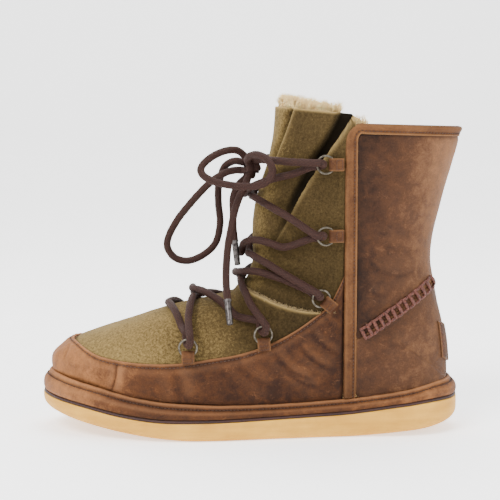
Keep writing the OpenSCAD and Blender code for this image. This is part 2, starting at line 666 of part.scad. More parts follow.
// Strap folded around the back of its ring
module ring_tab(i, side) {
    back = RING_SEATS[i][3];
    bend_x = -SLOT_FRONT - SLOT_H / 2;
    outer_h = SLOT_H + 2 * strap_t;
    color(TAN) in_ring_frame(i, side) rotate([90, 0, 0])
        linear_extrude(strap_w, center = true) difference() {
            union() {
                translate([bend_x, 0]) circle(d = outer_h);
                translate([-back, -outer_h / 2]) square([back + bend_x, outer_h]);
            }
            translate([bend_x, 0]) circle(d = SLOT_H);
            translate([-SLOT_BACK, -SLOT_H / 2]) square([SLOT_BACK + bend_x, SLOT_H]);
        }
}

module lace_ring(i, side) {
    color("silver") in_ring_frame(i, side)
        rotate_extrude($fn = 64) translate([ring_r, 0]) circle(d = ring_wire, $fn = 20);
}

module lace() {
    route = concat(lace_side(-1),
        [lift(CROSSINGS[0], 0, low_h)], reversed(lace_side(1)));
    color(LACE) tube(route, lace_r);
}

module bow_knot() {
    color(LACE) translate(KNOT) scale(KNOT_SCALE) sphere(KNOT_R);
}

module free_lace(route) {
    color(LACE) tube(route, lace_r);
}

// Sleeve on a lace end: it starts where the lace stops and keeps its direction
module aglet(route) {
    last = len(route) - 1;
    along = unit(route[last] - route[last - 1]);
    tilt = acos(along[2]);
    heading = atan2(along[1], along[0]);
    color("dimgray") translate(route[last]) rotate([0, tilt, heading])
        cylinder(d = aglet_d, h = aglet_l);
}

outsole();
rand_stripe();
midsole_core();
leather_foxing();
insole_board();
footbed();
toe_stiffener();
heel_stiffener();
vamp_lining();
heel_lining(LATERAL);  // heel_lining_lateral
heel_lining(MEDIAL);  // heel_lining_medial
shaft_lining(LATERAL);  // shaft_lining_lateral
shaft_lining(MEDIAL);  // shaft_lining_medial
mudguard();
vamp_plug();
front_panel();
quarter(LATERAL);  // quarter_lateral
quarter(MEDIAL);  // quarter_medial
counter(LATERAL);  // counter_lateral
counter(MEDIAL);  // counter_medial
binding(LATERAL);  // binding_lateral
binding(MEDIAL);  // binding_medial
heel_patch();
heel_seam_stitches(LATERAL);  // seam_stitches_lateral
heel_seam_stitches(MEDIAL);  // seam_stitches_medial
for (i = [0:RINGS - 1]) {
    ring_tab(i, LATERAL);
    ring_tab(i, MEDIAL);
    lace_ring(i, LATERAL);
    lace_ring(i, MEDIAL);
}
lace();
bow_knot();
free_lace(LOOP_LATERAL);  // bow_loop_lateral
free_lace(LOOP_MEDIAL);  // bow_loop_medial
free_lace(END_LATERAL);  // lace_end_lateral
free_lace(END_MEDIAL);  // lace_end_medial
aglet(END_LATERAL);  // aglet_lateral
aglet(END_MEDIAL);  // aglet_medial
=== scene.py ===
"""The looks of a lace-up sheepskin moccasin boot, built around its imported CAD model.

Lengths are millimetres while a shape is worked out, and metres in the meshes. The toe points
to -X, the heel to +X, the outer (lateral) side of the foot to -Y, and +Z is up.
"""
import math

import bpy
import numpy as np
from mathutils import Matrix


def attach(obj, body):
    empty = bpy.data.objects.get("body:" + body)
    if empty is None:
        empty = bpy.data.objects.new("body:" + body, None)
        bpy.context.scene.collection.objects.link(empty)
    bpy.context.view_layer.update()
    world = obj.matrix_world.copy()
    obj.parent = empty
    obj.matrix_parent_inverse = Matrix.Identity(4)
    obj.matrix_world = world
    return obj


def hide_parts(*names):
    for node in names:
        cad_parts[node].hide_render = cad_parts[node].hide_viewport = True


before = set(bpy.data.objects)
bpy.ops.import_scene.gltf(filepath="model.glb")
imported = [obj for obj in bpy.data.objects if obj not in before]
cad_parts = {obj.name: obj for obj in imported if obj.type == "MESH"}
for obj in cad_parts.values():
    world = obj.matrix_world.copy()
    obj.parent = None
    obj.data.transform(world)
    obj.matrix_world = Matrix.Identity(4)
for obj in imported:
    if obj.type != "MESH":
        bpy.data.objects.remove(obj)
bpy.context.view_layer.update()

MM = 0.001
LATERAL, MEDIAL = -1, 1
SIDES = {"lateral": LATERAL, "medial": MEDIAL}
rng = np.random.default_rng(7)

# ---------------------------------------------------------------------------
# Camera
# ---------------------------------------------------------------------------
CAMERA_AT = (0.001, -0.848, 0.205)
CAMERA_DOWN = 4.5      # degrees below the horizon
CAMERA_LENS = 92.95
CAMERA_SHIFT_Y = -0.0634


def add_camera():
    data = bpy.data.cameras.new("camera")
    data.lens = CAMERA_LENS
    data.sensor_width = 36.0
    data.shift_y = CAMERA_SHIFT_Y
    data.clip_start, data.clip_end = 0.01, 60.0
    camera = bpy.data.objects.new("camera", data)
    camera.location = CAMERA_AT
    camera.rotation_euler = (math.radians(90 - CAMERA_DOWN), 0, 0)
    bpy.context.scene.collection.objects.link(camera)
    bpy.context.scene.camera = camera


add_camera()

# ---------------------------------------------------------------------------
# Maths
# ---------------------------------------------------------------------------


def mix(a, b, t):
    return a + (b - a) * t


def smoothstep(low, high, x):
    t = np.clip((x - low) / (high - low), 0, 1)
    return t * t * (3 - 2 * t)


def bump(distance, width):
    """A bell of height 1 at distance 0."""
    return np.exp(-(distance / width) ** 2)


def unit(v):
    return v / np.maximum(np.linalg.norm(v, axis=-1, keepdims=True), 1e-12)


def catmull(a, b, c, d, t):
    return 0.5 * (2 * b + (c - a) * t + (2 * a - 5 * b + 4 * c - d) * t ** 2
                  + (3 * b - a - 3 * c + d) * t ** 3)


def smooth_path(points, step=0.5, closed=False):
    """A Catmull-Rom curve through points, resampled at an even step."""
    p = np.asarray(points, float)
    n = len(p)
    if closed:
        q = np.vstack([p[-1:], p, p[:2]])
    else:
        q = np.vstack([2 * p[0] - p[1], p, 2 * p[-1] - p[-2]])
    t = np.linspace(0, 1, 16, endpoint=False)[:, None]
    spans = n if closed else n - 1
    fine = np.vstack([catmull(q[i], q[i + 1], q[i + 2], q[i + 3], t) for i in range(spans)])
    fine = np.vstack([fine, p[:1] if closed else p[-1:]])
    return resample(fine, step)


def run_along(line):
    """Distance along a line to each of its points."""
    return np.concatenate([[0], np.cumsum(np.linalg.norm(np.diff(line, axis=0), axis=1))])


def circle(sides):
    """Angles evenly around a circle."""
    return np.linspace(0, 2 * np.pi, sides, endpoint=False)


def at_shares(want, along, rows):
    """Rows (n, k) read at other distances along their line."""
    return np.stack([np.interp(want, along, rows[:, k]) for k in range(rows.shape[1])], axis=1)


def resample(fine, step):
    """The same line with points at an even step, both ends kept."""
    along = run_along(fine)
    count = max(2, int(round(along[-1] / step)) + 1)
    return at_shares(np.linspace(0, along[-1], count), along, fine)


def lookup(x, table):
    """A smooth height over x, through the points of a table of (x, z), and level where the
    table turns or stays flat."""
    xs, zs = np.array(table, float).T
    slope = np.gradient(zs, xs)
    run = np.diff(zs)
    slope[1:-1][run[1:] * run[:-1] <= 0] = 0
    x = np.clip(np.asarray(x, float), xs[0], xs[-1])
    i = np.clip(np.searchsorted(xs, x) - 1, 0, len(xs) - 2)
    h = xs[i + 1] - xs[i]
    t = (x - xs[i]) / h
    return ((1 + 2 * t) * (1 - t) ** 2 * zs[i] + t * (1 - t) ** 2 * h * slope[i]
            + t * t * (3 - 2 * t) * zs[i + 1] + t * t * (t - 1) * h * slope[i + 1])


def hashed(i, j, k, seed):
    """Evenly spread numbers from 0 to 1, one for each cell of a grid."""
    h = (i * 73856093) ^ (j * 19349663) ^ (k * 83492791) ^ (seed * 2654435761)
    h = (h ^ (h >> 13)) * 1274126177
    return ((h ^ (h >> 16)) & 0xFFFF) / 65535.0


def noise(points, size, seed=0, octaves=2):
    """Smooth noise from -1 to 1 over points (..., 3), with features of about that size."""
    total, strength, weight = 0.0, 1.0, 0.0
    for octave in range(octaves):
        p = np.asarray(points, float) / size * 2 ** octave + 31.7 * (octave + 1)
        cell = np.floor(p).astype(np.int64)
        f = p - cell
        f = f * f * (3 - 2 * f)
        value = 0.0
        for dx in (0, 1):
            for dy in (0, 1):
                for dz in (0, 1):
                    w = ((f[..., 0] if dx else 1 - f[..., 0])
                         * (f[..., 1] if dy else 1 - f[..., 1])
                         * (f[..., 2] if dz else 1 - f[..., 2]))
                    value = value + w * hashed(cell[..., 0] + dx, cell[..., 1] + dy,
                                               cell[..., 2] + dz, seed + octave)
        total = total + strength * (2 * value - 1)
        weight += strength
        strength *= 0.5
    return total / weight


def near_line(x, z, line, step=1.0):
    """Distance in the side view from points to a smooth line, the side they lie on (positive
    towards +X) and how far along the line they are, from 0 to 1."""
    path = smooth_path(line, step)
    p = np.stack([np.ravel(x), np.ravel(z)], axis=1)
    best, side, share = np.full(len(p), 1e9), np.zeros(len(p)), np.zeros(len(p))
    for k, (start, run) in enumerate(zip(path[:-1], np.diff(path, axis=0))):
        t = np.clip((p - start) @ run / (run @ run), 0, 1)
        off = p - start - t[:, None] * run
        distance = np.hypot(*off.T)
        closer = distance < best
        right = off[:, 0] * run[1] - off[:, 1] * run[0]
        right = np.sign(right) * distance * np.sign(run[1] or 1)
        best[closer], side[closer] = distance[closer], right[closer]
        share[closer] = (k + t[closer]) / (len(path) - 1)
    shape = np.shape(x)
    return best.reshape(shape), side.reshape(shape), share.reshape(shape)


# ---------------------------------------------------------------------------
# Surface of the last, as in the CAD model
# ---------------------------------------------------------------------------
# Columns: ridge x, z, y; base x, z; half width lateral, medial; swing around the toe, lateral,
# medial; share of the width kept at the base, lateral, medial; where along the section it is
# widest; squareness of its upper part; how far its lower part turns inwards, in degrees.
LAST = np.array([
    [-104, 62.7, 8, -104, 37.5, -8, 8, -28, -28, 1, 1, 0.7, 3, 60],
    [-103.5, 62.9, 8, -103.5, 36.5, 6, 21, -24.5, -24, 1, 1, 0.7, 2.9, 60],
    [-100, 64, 7.5, -100, 34.5, 19.5, 33, -15, -14, 1, 1, 0.7, 2.7, 60],
    [-93, 66.6, 6.5, -93, 31.5, 31, 41, -5, -5, 0.98, 0.98, 0.7, 2.5, 60],
    [-80, 71, 5, -80, 27.5, 39, 45, 0, 0, 0.97, 0.97, 0.7, 2.3, 60],
    [-62, 77, 3.5, -62, 24.5, 42.5, 45.5, 0, 0, 0.97, 0.96, 0.7, 2.2, 60],
    [-43, 82.5, 2, -43, 22.5, 43.5, 43, 0, 0, 0.97, 0.96, 0.7, 2.2, 60],
    [-24, 87, 2, -22, 21.5, 42.5, 39.5, 0, 0, 0.97, 0.95, 0.7, 2.2, 60],
    [-9, 92, 2, 8, 21, 39.5, 37.5, 0, 0, 0.95, 0.86, 0.66, 2.2, 60],
    [-0.5, 101, 2, 44, 22, 36.5, 37.5, 0, 0, 0.88, 0.8, 0.6, 2.2, 60],
    [2.5, 113, 2, 80, 25, 34.5, 37.5, 0, 0, 0.84, 0.82, 0.52, 2.2, 60],
    [2.5, 123, 2, 108, 29.5, 34, 38, 0, 0, 0.77, 0.74, 0.46, 2.2, 64],
    [2.3, 129, 2, 121, 32.5, 34, 38, 0, 0, 0.62, 0.6, 0.45, 2.2, 71],
    [2.3, 134, 2, 129, 34.5, 34, 38, 0, 0, 0.36, 0.36, 0.45, 2.2, 80],
    [2.5, 139, 2, 131.8, 36.5, 34, 38, 0, 0, 0, 0, 0.45, 2.2, 90],
    [4, 149, 2, 130, 60, 34.5, 38.5, 0, 0, 0, 0, 0.47, 2.2, 90],
    [7.5, 162, 2, 124, 88, 35, 39, 0, 0, 0, 0, 0.5, 2.2, 90],
    [12, 177, 2, 120, 115, 35, 39, 0, 0, 0, 0, 0.5, 2.2, 90],
    [14.5, 192, 2, 126, 148, 35.5, 39.5, 0, 0, 0, 0, 0.5, 2.2, 90],
    [15.5, 205, 2, 135, 180, 36, 40, 0, 0, 0, 0, 0.5, 2.2, 90],
    [16, 212, 2, 139.8, 199.5, 36, 40, 0, 0, 0, 0, 0.5, 2.2, 90]], float)
TOP = len(LAST) - 1
CROWN = 0.62
TOE_DROOP = 0.345
TOE_NORMAL = np.array([-0.33, 0, 0.94])


def station(s):
    i = np.clip(np.floor(s).astype(int), 0, TOP - 1)
    rows = [LAST[np.clip(i + k, 0, TOP)] for k in (-1, 0, 1, 2)]
    return catmull(*rows, (np.clip(s, 0, TOP) - i)[..., None])


def skin(s, q):
    """Point of the last at station s; q runs from -1 at the lateral base over 0 at the ridge
    to 1 at the medial base."""
    s, q = np.broadcast_arrays(np.asarray(s, float), np.asarray(q, float))
    r = np.moveaxis(station(s), -1, 0)
    v = np.abs(q)
    crown = np.radians(90 * np.clip(v / CROWN, 0, 1))
    end = np.radians(r[13])
    foot = end * np.clip((v - CROWN) / (1 - CROWN), 0, 1)
    lateral = q < 0
    width = np.where(lateral, -(r[5] + r[2]), r[6] - r[2])
    swing = np.where(lateral, r[7], r[8])
    kept = np.where(lateral, r[9], r[10])
    upper = v < CROWN
    c = np.clip(np.cos(crown), 0, 1)
    along = np.where(upper, r[11] * (1 - c ** (2 / r[12])),
                     r[11] + (1 - r[11]) * np.sin(foot) / np.sin(end))
    out = np.where(upper, np.sin(crown) ** (2 / r[12]),
                   kept + (1 - kept) * (np.cos(foot) - np.cos(end)) / (1 - np.cos(end)))
    return np.stack([mix(r[0], r[3], along) + swing * out,
                     r[2] + width * out,
                     mix(r[1], r[4], along) + TOE_DROOP * swing * out * (1 - along)], axis=-1)


def normal(s, q):
    s, q = np.broadcast_arrays(np.asarray(s, float), np.asarray(q, float))
    ds, dq = 0.02, 0.004
    over_s = skin(np.minimum(s + ds, TOP), q) - skin(np.maximum(s - ds, 0), q)
    over_q = skin(s, np.minimum(q + dq, 1)) - skin(s, np.maximum(q - dq, -1))
    n = np.cross(over_s, over_q)
    n[..., 1] = np.where(s == 0, 0, n[..., 1])
    n = unit(n)
    pole = smoothstep(1.0, 0.5, s) * smoothstep(0.12, 0.04, np.abs(q))
    return unit(mix(n, TOE_NORMAL, pole[..., None]))


def lift(s, q, h):
    return skin(s, q) + np.asarray(h)[..., None] * normal(s, q)


def solve(f, low, high, steps=22):
    """Where f passes from below to above zero between arrays low and high."""
    for _ in range(steps):
        middle = (low + high) / 2
        above = f(middle) > 0
        low, high = np.where(above, low, middle), np.where(above, middle, high)
    return (low + high) / 2


# Outline of the sole from above, and the heights along it, as in the CAD model
PLAN = [
    (-137, 8), (-128, -16), (-105, -35), (-65, -47), (-25, -48), (20, -41), (65, -35),
    (105, -33), (130, -20), (138, 2), (130, 23), (105, 35), (60, 35), (15, 36), (-25, 43),
    (-65, 50), (-100, 46), (-125, 30)]
GROUND_Z = [(-137, 15), (-108, 9.5), (-83, 5), (-58, 1.7), (-30, 0), (60, 0), (98, 2.7),
            (117, 4.6), (138, 9)]
STRIPE_Z = [(-137, 25), (-108, 21.8), (-83, 17.3), (-58, 14.4), (-32, 14), (0, 14.5),
            (34, 15.7), (67, 17.3), (98, 21.4), (128, 24), (138, 24)]
FEATHER_Z = [(-132, 37), (-115, 34), (-98, 31), (-80, 27), (-62, 24), (-43, 22), (-22, 21),
             (8, 20.5), (44, 21.5), (80, 24.5), (108, 29), (121, 32), (132, 33)]
MUDGUARD_EDGE = [(-118, 58.4), (-114, 58), (-97, 52.6), (-80, 50.3), (-63, 49.4), (-44, 50),
                 (-24, 52.6), (-5, 55.5), (9, 59.7), (27, 68), (43, 79), (52, 87), (62, 107)]
INSTEP_SEAM = [(-10, 96.5), (8, 89.8), (23, 84.3), (36, 81.5), (50, 80.5)]
BINDING_X, BINDING_W, RIM_W = 61, 8, 6.5
RIM_FRONT_Z, RIM_BACK_Z, CORNER_R = 201, 198.5, 11
SEAM_LOW, SEAM_HIGH = (72, 66), (121, 99)
STRIPE_T = 2.0


def above_mudguard(p):
    return p[..., 2] - lookup(p[..., 0], MUDGUARD_EDGE)


def above_instep_seam(p):
    return p[..., 2] - lookup(p[..., 0], INSTEP_SEAM)


def above_heel_seam(p):
    share = (p[..., 0] - SEAM_LOW[0]) / (SEAM_HIGH[0] - SEAM_LOW[0])
    return p[..., 2] - mix(SEAM_LOW[1], SEAM_HIGH[1], share)


def above_rim(p):
    return p[..., 2] - mix(RIM_FRONT_Z, RIM_BACK_Z, (p[..., 0] - BINDING_X) / 80)


def v_at(s, side, f, low, high):
    """Share of the section at s where f(point) passes above zero."""
    s = np.asarray(s, float)
    return solve(lambda v: f(skin(s, side * v)), np.full(s.shape, low), np.full(s.shape, high))


def mudguard_v(s, side):
    return v_at(s, side, lambda p: -above_mudguard(p), 0.0, 1.0)


def binding_v(s, side, x):
    return v_at(s, side, lambda p: p[..., 0] - x, 0.3, 1.0)


def heel_seam_v(s, side):
    return v_at(s, side, lambda p: -above_heel_seam(p), 0.4, 1.0)


def instep_s(v, side):
    v = np.asarray(v, float)
    return solve(lambda s: above_instep_seam(skin(s, side * v)), np.full(v.shape, 7.0),
                 np.full(v.shape, 11.5))


def below_rim_s(v, side, drop):
    v = np.asarray(v, float)
    return solve(lambda s: above_rim(skin(s, side * v)) + drop, np.full(v.shape, 16.5),
                 np.full(v.shape, float(TOP)))


def seat(x, z, side, guess=(16.0, 0.7), steps=12):
    """Station and share of the point with this x and z on one side, by Newton's method."""
    x, z = np.broadcast_arrays(np.asarray(x, float), np.asarray(z, float))
    s, v = np.full(x.shape, guess[0]), np.full(x.shape, guess[1])
    e = 0.001
    for _ in range(steps):
        here = skin(s, side * v)
        by_s = (skin(s + e, side * v) - here) / e
        by_v = (skin(s, side * (v + e)) - here) / e
        det = by_s[..., 0] * by_v[..., 2] - by_s[..., 2] * by_v[..., 0]
        dx, dz = x - here[..., 0], z - here[..., 2]
        s = np.clip(s + np.clip((dx * by_v[..., 2] - dz * by_v[..., 0]) / det, -2, 2),
                    0.1, TOP - 0.01)
        v = np.clip(v + np.clip((by_s[..., 0] * dz - by_s[..., 2] * dx) / det, -0.2, 0.2),
                    0.05, 0.996)
    return s, v


# ---------------------------------------------------------------------------
# Meshes
# ---------------------------------------------------------------------------


def make(name, points, faces, material, body="root", stands_for=(), shades=None,
         uv=None):
    """A mesh object from points in mm (n, 3) and a list of face arrays with 3 or 4 columns.
    shades holds named numbers for each point, and uv a pair of numbers for each point."""
    mesh = bpy.data.meshes.new(name)
    faces = [f for f in faces if len(f)]
    loops = np.concatenate([f.ravel() for f in faces]).astype(np.int32)
    sizes = np.concatenate([np.full(len(f), f.shape[1]) for f in faces])
    starts = np.concatenate([[0], np.cumsum(sizes)[:-1]]).astype(np.int32)
    mesh.vertices.add(len(points))
    mesh.vertices.foreach_set("co", (np.asarray(points, float) * MM).astype(np.float32).ravel())
    mesh.loops.add(len(loops))
    mesh.loops.foreach_set("vertex_index", loops)
    mesh.polygons.add(len(starts))
    mesh.polygons.foreach_set("loop_start", starts)
    mesh.update(calc_edges=True)
    for key, values in (shades or {}).items():
        attribute = mesh.attributes.new(key, "FLOAT", "POINT")
        attribute.data.foreach_set("value", np.asarray(values, np.float32).ravel())
    if uv is not None:
        layer = mesh.uv_layers.new(name="lay")
        layer.data.foreach_set("uv", np.asarray(uv, np.float32)[loops].ravel())
    mesh.validate()
    mesh.polygons.foreach_set("use_smooth", [True] * len(mesh.polygons))
    mesh.materials.append(material)
    piece = bpy.data.objects.new(name, mesh)
    bpy.context.scene.collection.objects.link(piece)
    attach(piece, body)
    if stands_for:
        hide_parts(*stands_for)
    return piece


def grid_faces(n, m, start=0, wrap_n=False, wrap_m=False):
    """Quads of an n by m grid of points that is numbered row by row."""
    i = np.arange(n if wrap_n else n - 1)
    j = np.arange(m if wrap_m else m - 1)
    i, j = (a.ravel() for a in np.meshgrid(i, j, indexing="ij"))
    i2, j2 = (i + 1) % n, (j + 1) % m
    return start + np.stack([i * m + j, i2 * m + j, i2 * m + j2, i * m + j2], axis=1)


def shell(outer, inner):
    """A closed solid between two (n, m, 3) grids. Its faces look away from the inner grid."""
    n, m = outer.shape[:2]
    front = grid_faces(n, m)
    back = grid_faces(n, m, start=n * m)[:, ::-1]
    number = np.arange(n * m).reshape(n, m)
    walls = []
    for line, reverse in ((number[:, 0], False), (number[:, -1], True),
                          (number[0, :], True), (number[-1, :], False)):
        a, b = line[:-1], line[1:]
        wall = np.stack([a, b, b + n * m, a + n * m], axis=1)
        walls.append(wall[:, ::-1] if reverse else wall)
    faces = np.vstack([front, back] + walls)
    points = np.vstack([outer.reshape(-1, 3), inner.reshape(-1, 3)])
    a, b, c = (outer[:-1, :-1], outer[1:, :-1], outer[:-1, 1:])
    facing = (np.cross(b - a, c - a) * (outer - inner)[:-1, :-1]).sum()
    return points, (faces if facing > 0 else faces[:, ::-1])


def welded(points, faces, tolerance=0.01):
    """Points closer than the tolerance are made one, and faces that lose a corner become
    triangles or go. Gives the kept points, the faces, and which points were kept."""
    key = np.round(points / tolerance).astype(np.int64)
    _, first, inverse = np.unique(key, axis=0, return_index=True, return_inverse=True)
    inverse = inverse.ravel()
    quads, tris = [], []
    for f in inverse[faces]:
        kept = [v for k, v in enumerate(f) if v != f[k - 1]]
        if len(set(kept)) == 4:
            quads.append(kept)
        elif len(set(kept)) == 3:
            tris.append(kept[:3])
    faces = [np.array(q, int).reshape(-1, k) for q, k in ((quads, 4), (tris, 3))]
    return points[first], faces, first


def tube(path, radius, sides):
    """Points and faces of a closed tube along a path (n, 3), with a radius for each point (n,)
    or for each point and side (n, sides)."""
    n = len(path)
    tangent = unit(np.gradient(path, axis=0))
    up = np.array([0.0, 0.0, 1.0]) if abs(tangent[0][2]) < 0.9 else np.array([0.0, 1.0, 0.0])
    side = [unit(up - tangent[0] * (up @ tangent[0]))]
    for t in tangent[1:]:
        side.append(unit(side[-1] - t * (side[-1] @ t)))
    side = np.array(side)
    other = np.cross(tangent, side)
    turn = circle(sides)
    r = np.broadcast_to(radius[:, None] if radius.ndim == 1 else radius, (n, sides))
    ring = (np.cos(turn)[None, :, None] * side[:, None] + np.sin(turn)[None, :, None]
            * other[:, None])
    points = (path[:, None] + r[..., None] * ring).reshape(-1, 3)
    points = np.vstack([points, path[:1], path[-1:]])
    k = np.arange(sides)
    after, last = (k + 1) % sides, (n - 1) * sides
    first_cap = np.stack([np.full(sides, n * sides), after, k], axis=1)[:, ::-1]
    last_cap = np.stack([np.full(sides, n * sides + 1), last + k, last + after], axis=1)[:, ::-1]
    return points, [grid_faces(n, sides, wrap_m=True)[:, ::-1], first_cap, last_cap]


def joined(parts):
    """Several (points, faces) as one."""
    points, faces, start = [], [], 0
    for p, fs in parts:
        points.append(p)
        fs = fs if isinstance(fs, list) else [fs]
        faces.extend(f + start for f in fs if len(f))
        start += len(p)
    return np.vstack(points), faces


def stitches(line, normals, pitch=2.6, length=1.9, width=0.55, rise=0.22):
    """Short threads that lie along a line on the leather, one for each pitch."""
    along = run_along(line)
    centres = np.arange(pitch / 2, along[-1], pitch)
    at = at_shares(centres, along, line)
    nv = unit(at_shares(centres, along, normals))
    tv = at_shares(centres, along, np.gradient(line, along, axis=0))
    tv = unit(tv - nv * (tv * nv).sum(-1, keepdims=True))
    bv = np.cross(nv, tv)
    rings, sides = 7, 6
    u = np.linspace(-1, 1, rings)
    arch = 1 - u ** 2
    turn = circle(sides)
    parts = []
    for c, n, t, b in zip(at, nv, tv, bv):
        spine = c + np.outer(u * length / 2, t) + np.outer(arch * (rise + width * 0.35)
                                                           - width * 0.3, n)
        r = width / 2 * (0.45 + 0.55 * np.sqrt(np.clip(1 - u ** 4, 0, 1)))
        ring = (r[:, None, None] * (np.cos(turn)[None, :, None] * b
                                    + np.sin(turn)[None, :, None] * n))
        parts.append(((spine[:, None] + ring).reshape(-1, 3),
                      [grid_faces(rings, sides, wrap_m=True)]))
    return joined(parts)


# ---------------------------------------------------------------------------
# Materials
# ---------------------------------------------------------------------------


class Shader:
    """A node material that is built up call by call."""

    def __init__(self, name):
        self.material = bpy.data.materials.new(name)
        self.material.use_nodes = True
        self.tree = self.material.node_tree
        self.bsdf = self.tree.nodes["Principled BSDF"]
        self.place = self.node("ShaderNodeTexCoord").outputs["Object"]

    def node(self, kind, inputs=None, **settings):
        n = self.tree.nodes.new(kind)
        for key, value in settings.items():
            setattr(n, key, value)
        for key, value in (inputs or {}).items():
            self.put(n.inputs[key], value)
        return n

    def put(self, socket, value):
        if isinstance(value, bpy.types.NodeSocket):
            self.tree.links.new(value, socket)
        else:
            socket.default_value = value

    def scaled(self, scale):
        """The object's coordinates, stretched by three factors."""
        return self.node("ShaderNodeVectorMath", {0: self.place, 1: scale},
                         operation="MULTIPLY").outputs[0]

    def noise(self, scale, detail=3.0, rough=0.55, vector=None, distortion=0.0):
        return self.node("ShaderNodeTexNoise", {
            "Vector": vector or self.place, "Scale": scale, "Detail": detail,
            "Roughness": rough, "Distortion": distortion}).outputs["Fac"]

    def cells(self, scale):
        return self.node("ShaderNodeTexVoronoi", {"Vector": self.place, "Scale": scale},
                         feature="F1").outputs["Distance"]

    def ramp(self, value, stops):
        n = self.node("ShaderNodeValToRGB", {"Fac": value})
        elements = n.color_ramp.elements
        while len(elements) < len(stops):
            elements.new(0.5)
        for element, (at, colour) in zip(elements, stops):
            element.position = at
            element.color = (*colour, 1.0)
        return n.outputs["Color"]

    def span(self, value, low, high, to_low=0.0, to_high=1.0):
        return self.node("ShaderNodeMapRange", {
            "Value": value, "From Min": low, "From Max": high, "To Min": to_low,
            "To Max": to_high}, interpolation_type="SMOOTHSTEP").outputs["Result"]

    def maths(self, operation, a, b=0.0):
        return self.node("ShaderNodeMath", {0: a, 1: b}, operation=operation).outputs[0]

    def weighed(self, *terms):
        """Sum of (value, weight) pairs. A weight of None adds the value as it is."""
        total = None
        for value, weight in terms:
            part = value if weight is None else self.maths("MULTIPLY", value, weight)
            total = part if total is None else self.maths("ADD", total, part)
        return total

    def blend(self, factor, a, b, kind="MIX"):
        n = self.node("ShaderNodeMix", data_type="RGBA", blend_type=kind)
        for socket, value in ((n.inputs[0], factor), (n.inputs[6], a), (n.inputs[7], b)):
            if isinstance(value, tuple) and len(value) == 3:
                value = (*value, 1.0)
            self.put(socket, value)
        return n.outputs[2]

    def shade(self, name):
        return self.node("ShaderNodeAttribute", attribute_name=name).outputs["Fac"]

    def bump(self, heights):
        """Chained bumps from pairs of a height and its depth in metres."""
        normal_out = None
        for height, depth in heights:
            n = self.node("ShaderNodeBump", {"Height": height, "Distance": depth,
                                             "Strength": 1.0})
            if normal_out is not None:
                self.put(n.inputs["Normal"], normal_out)
            normal_out = n.outputs["Normal"]
        self.put(self.bsdf.inputs["Normal"], normal_out)

    def finish(self, **inputs):
        for key, value in inputs.items():
            self.put(self.bsdf.inputs[key.replace("_", " ")], value)
        return self.material


def leather(name, dark, mid, light, pale, patches=22.0, gloss=0.46):
    """Oiled pull-up leather: clouded colour, lighter where it is worn or bent, fine grain.
    The shades are tone, which runs from dark to light over a whole piece; a lightening shade for
    worn edges and painted highlights; and a darkening shade for painted shade in grooves, crease
    valleys and under the edges of other pieces, and for soil."""
    m = Shader(name)
    cloud = m.noise(patches, 4.0, 0.6, distortion=0.6)
    small = m.noise(150.0, 7.0, 0.74, distortion=0.3)
    speck = m.noise(950.0, 3.0, 0.75)
    tone = m.weighed((cloud, 0.60), (small, 0.90), (speck, 0.26), (m.shade("tone"), 0.72))
    tone = m.maths("SUBTRACT", tone, 0.62)
    colour = m.ramp(tone, [(0.22, dark), (0.56, mid), (0.95, light)])
    scuffs = m.noise(120.0, 6.0, 0.8, vector=m.scaled((1.0, 1.0, 1.7)), distortion=0.8)
    colour = m.blend(m.span(scuffs, 0.56, 0.70, 0.0, 0.30), colour, light)
    marks = m.noise(260.0, 5.0, 0.8, distortion=0.5)
    colour = m.blend(m.span(marks, 0.40, 0.28, 0.0, 0.55), colour, dark)
    # Lightened where worn, and by painted highlights
    colour = m.blend(m.shade("wear_and_highlight"), colour, pale)
    # Darkened by painted shade in grooves, crease valleys and under other pieces, and by soil
    colour = m.blend(m.shade("shade_and_soil"), colour, tuple(c * 0.3 for c in dark))
    grain = m.cells(1300.0)
    colour = m.blend(m.span(grain, 0.0, 0.45, 0.22, 0.0), colour, tuple(c * 0.5 for c in dark))
    wrinkles = m.noise(170.0, 5.0, 0.7, distortion=0.9)
    m.bump([(wrinkles, 0.00045), (grain, 0.00010), (speck, 0.00012)])
    rough = m.span(small, 0.3, 0.7, gloss, gloss + 0.22)
    return m.finish(Base_Color=colour, Roughness=rough, Specular_IOR_Level=0.13)


def suede(name, dark, mid, light):
    """Napped suede: mottled colour that the nap lifts and darkens, with a soft sheen."""
    m = Shader(name)
    cloud = m.noise(30.0, 4.0, 0.6)
    nap = m.noise(620.0, 4.0, 0.7)
    speck = m.noise(1500.0, 2.0, 0.8)
    tone = m.maths("SUBTRACT", m.weighed((cloud, 0.16), (nap, 0.72), (speck, 0.40)), 0.38)
    tone = m.weighed((tone, None), (m.shade("tone"), 0.72))
    colour = m.ramp(tone, [(0.22, dark), (0.56, mid), (0.95, light)])
    pale = tuple(min(1.0, c * 1.5 + 0.02) for c in light)
    # Lightened where worn, and by painted highlights
    colour = m.blend(m.shade("wear_and_highlight"), colour, pale)
    # Darkened by painted shade in valleys and under other pieces, and by soil
    colour = m.blend(m.shade("shade_and_soil"), colour, tuple(c * 0.35 for c in dark))
    m.bump([(cloud, 0.0005), (nap, 0.00032), (speck, 0.00022)])
    return m.finish(Base_Color=colour, Roughness=0.93, Specular_IOR_Level=0.1,
                    Sheen_Weight=0.12, Sheen_Roughness=0.4,
                    Sheen_Tint=(0.8, 0.62, 0.3, 1.0))


def fleece(name, deep, mid, tip):
    """Sheepskin pile: the shade called tip runs from the root to the end of each lock."""
    m = Shader(name)
    clump = m.noise(160.0, 3.0, 0.6)
    fine = m.noise(1500.0, 2.0, 0.6)
    tone = m.weighed((clump, 0.6), (fine, 0.4))
    colour = m.ramp(tone, [(0.3, deep), (0.5, mid), (0.68, tip)])
    colour = m.blend(m.shade("tip"), m.blend(0.5, colour, (*deep, 1.0), "MULTIPLY"), colour)
    m.bump([(fine, 0.0002)])
    return m.finish(Base_Color=colour, Roughness=0.9, Specular_IOR_Level=0.15,
                    Sheen_Weight=0.4, Sheen_Roughness=0.6, Subsurface_Weight=0.0)


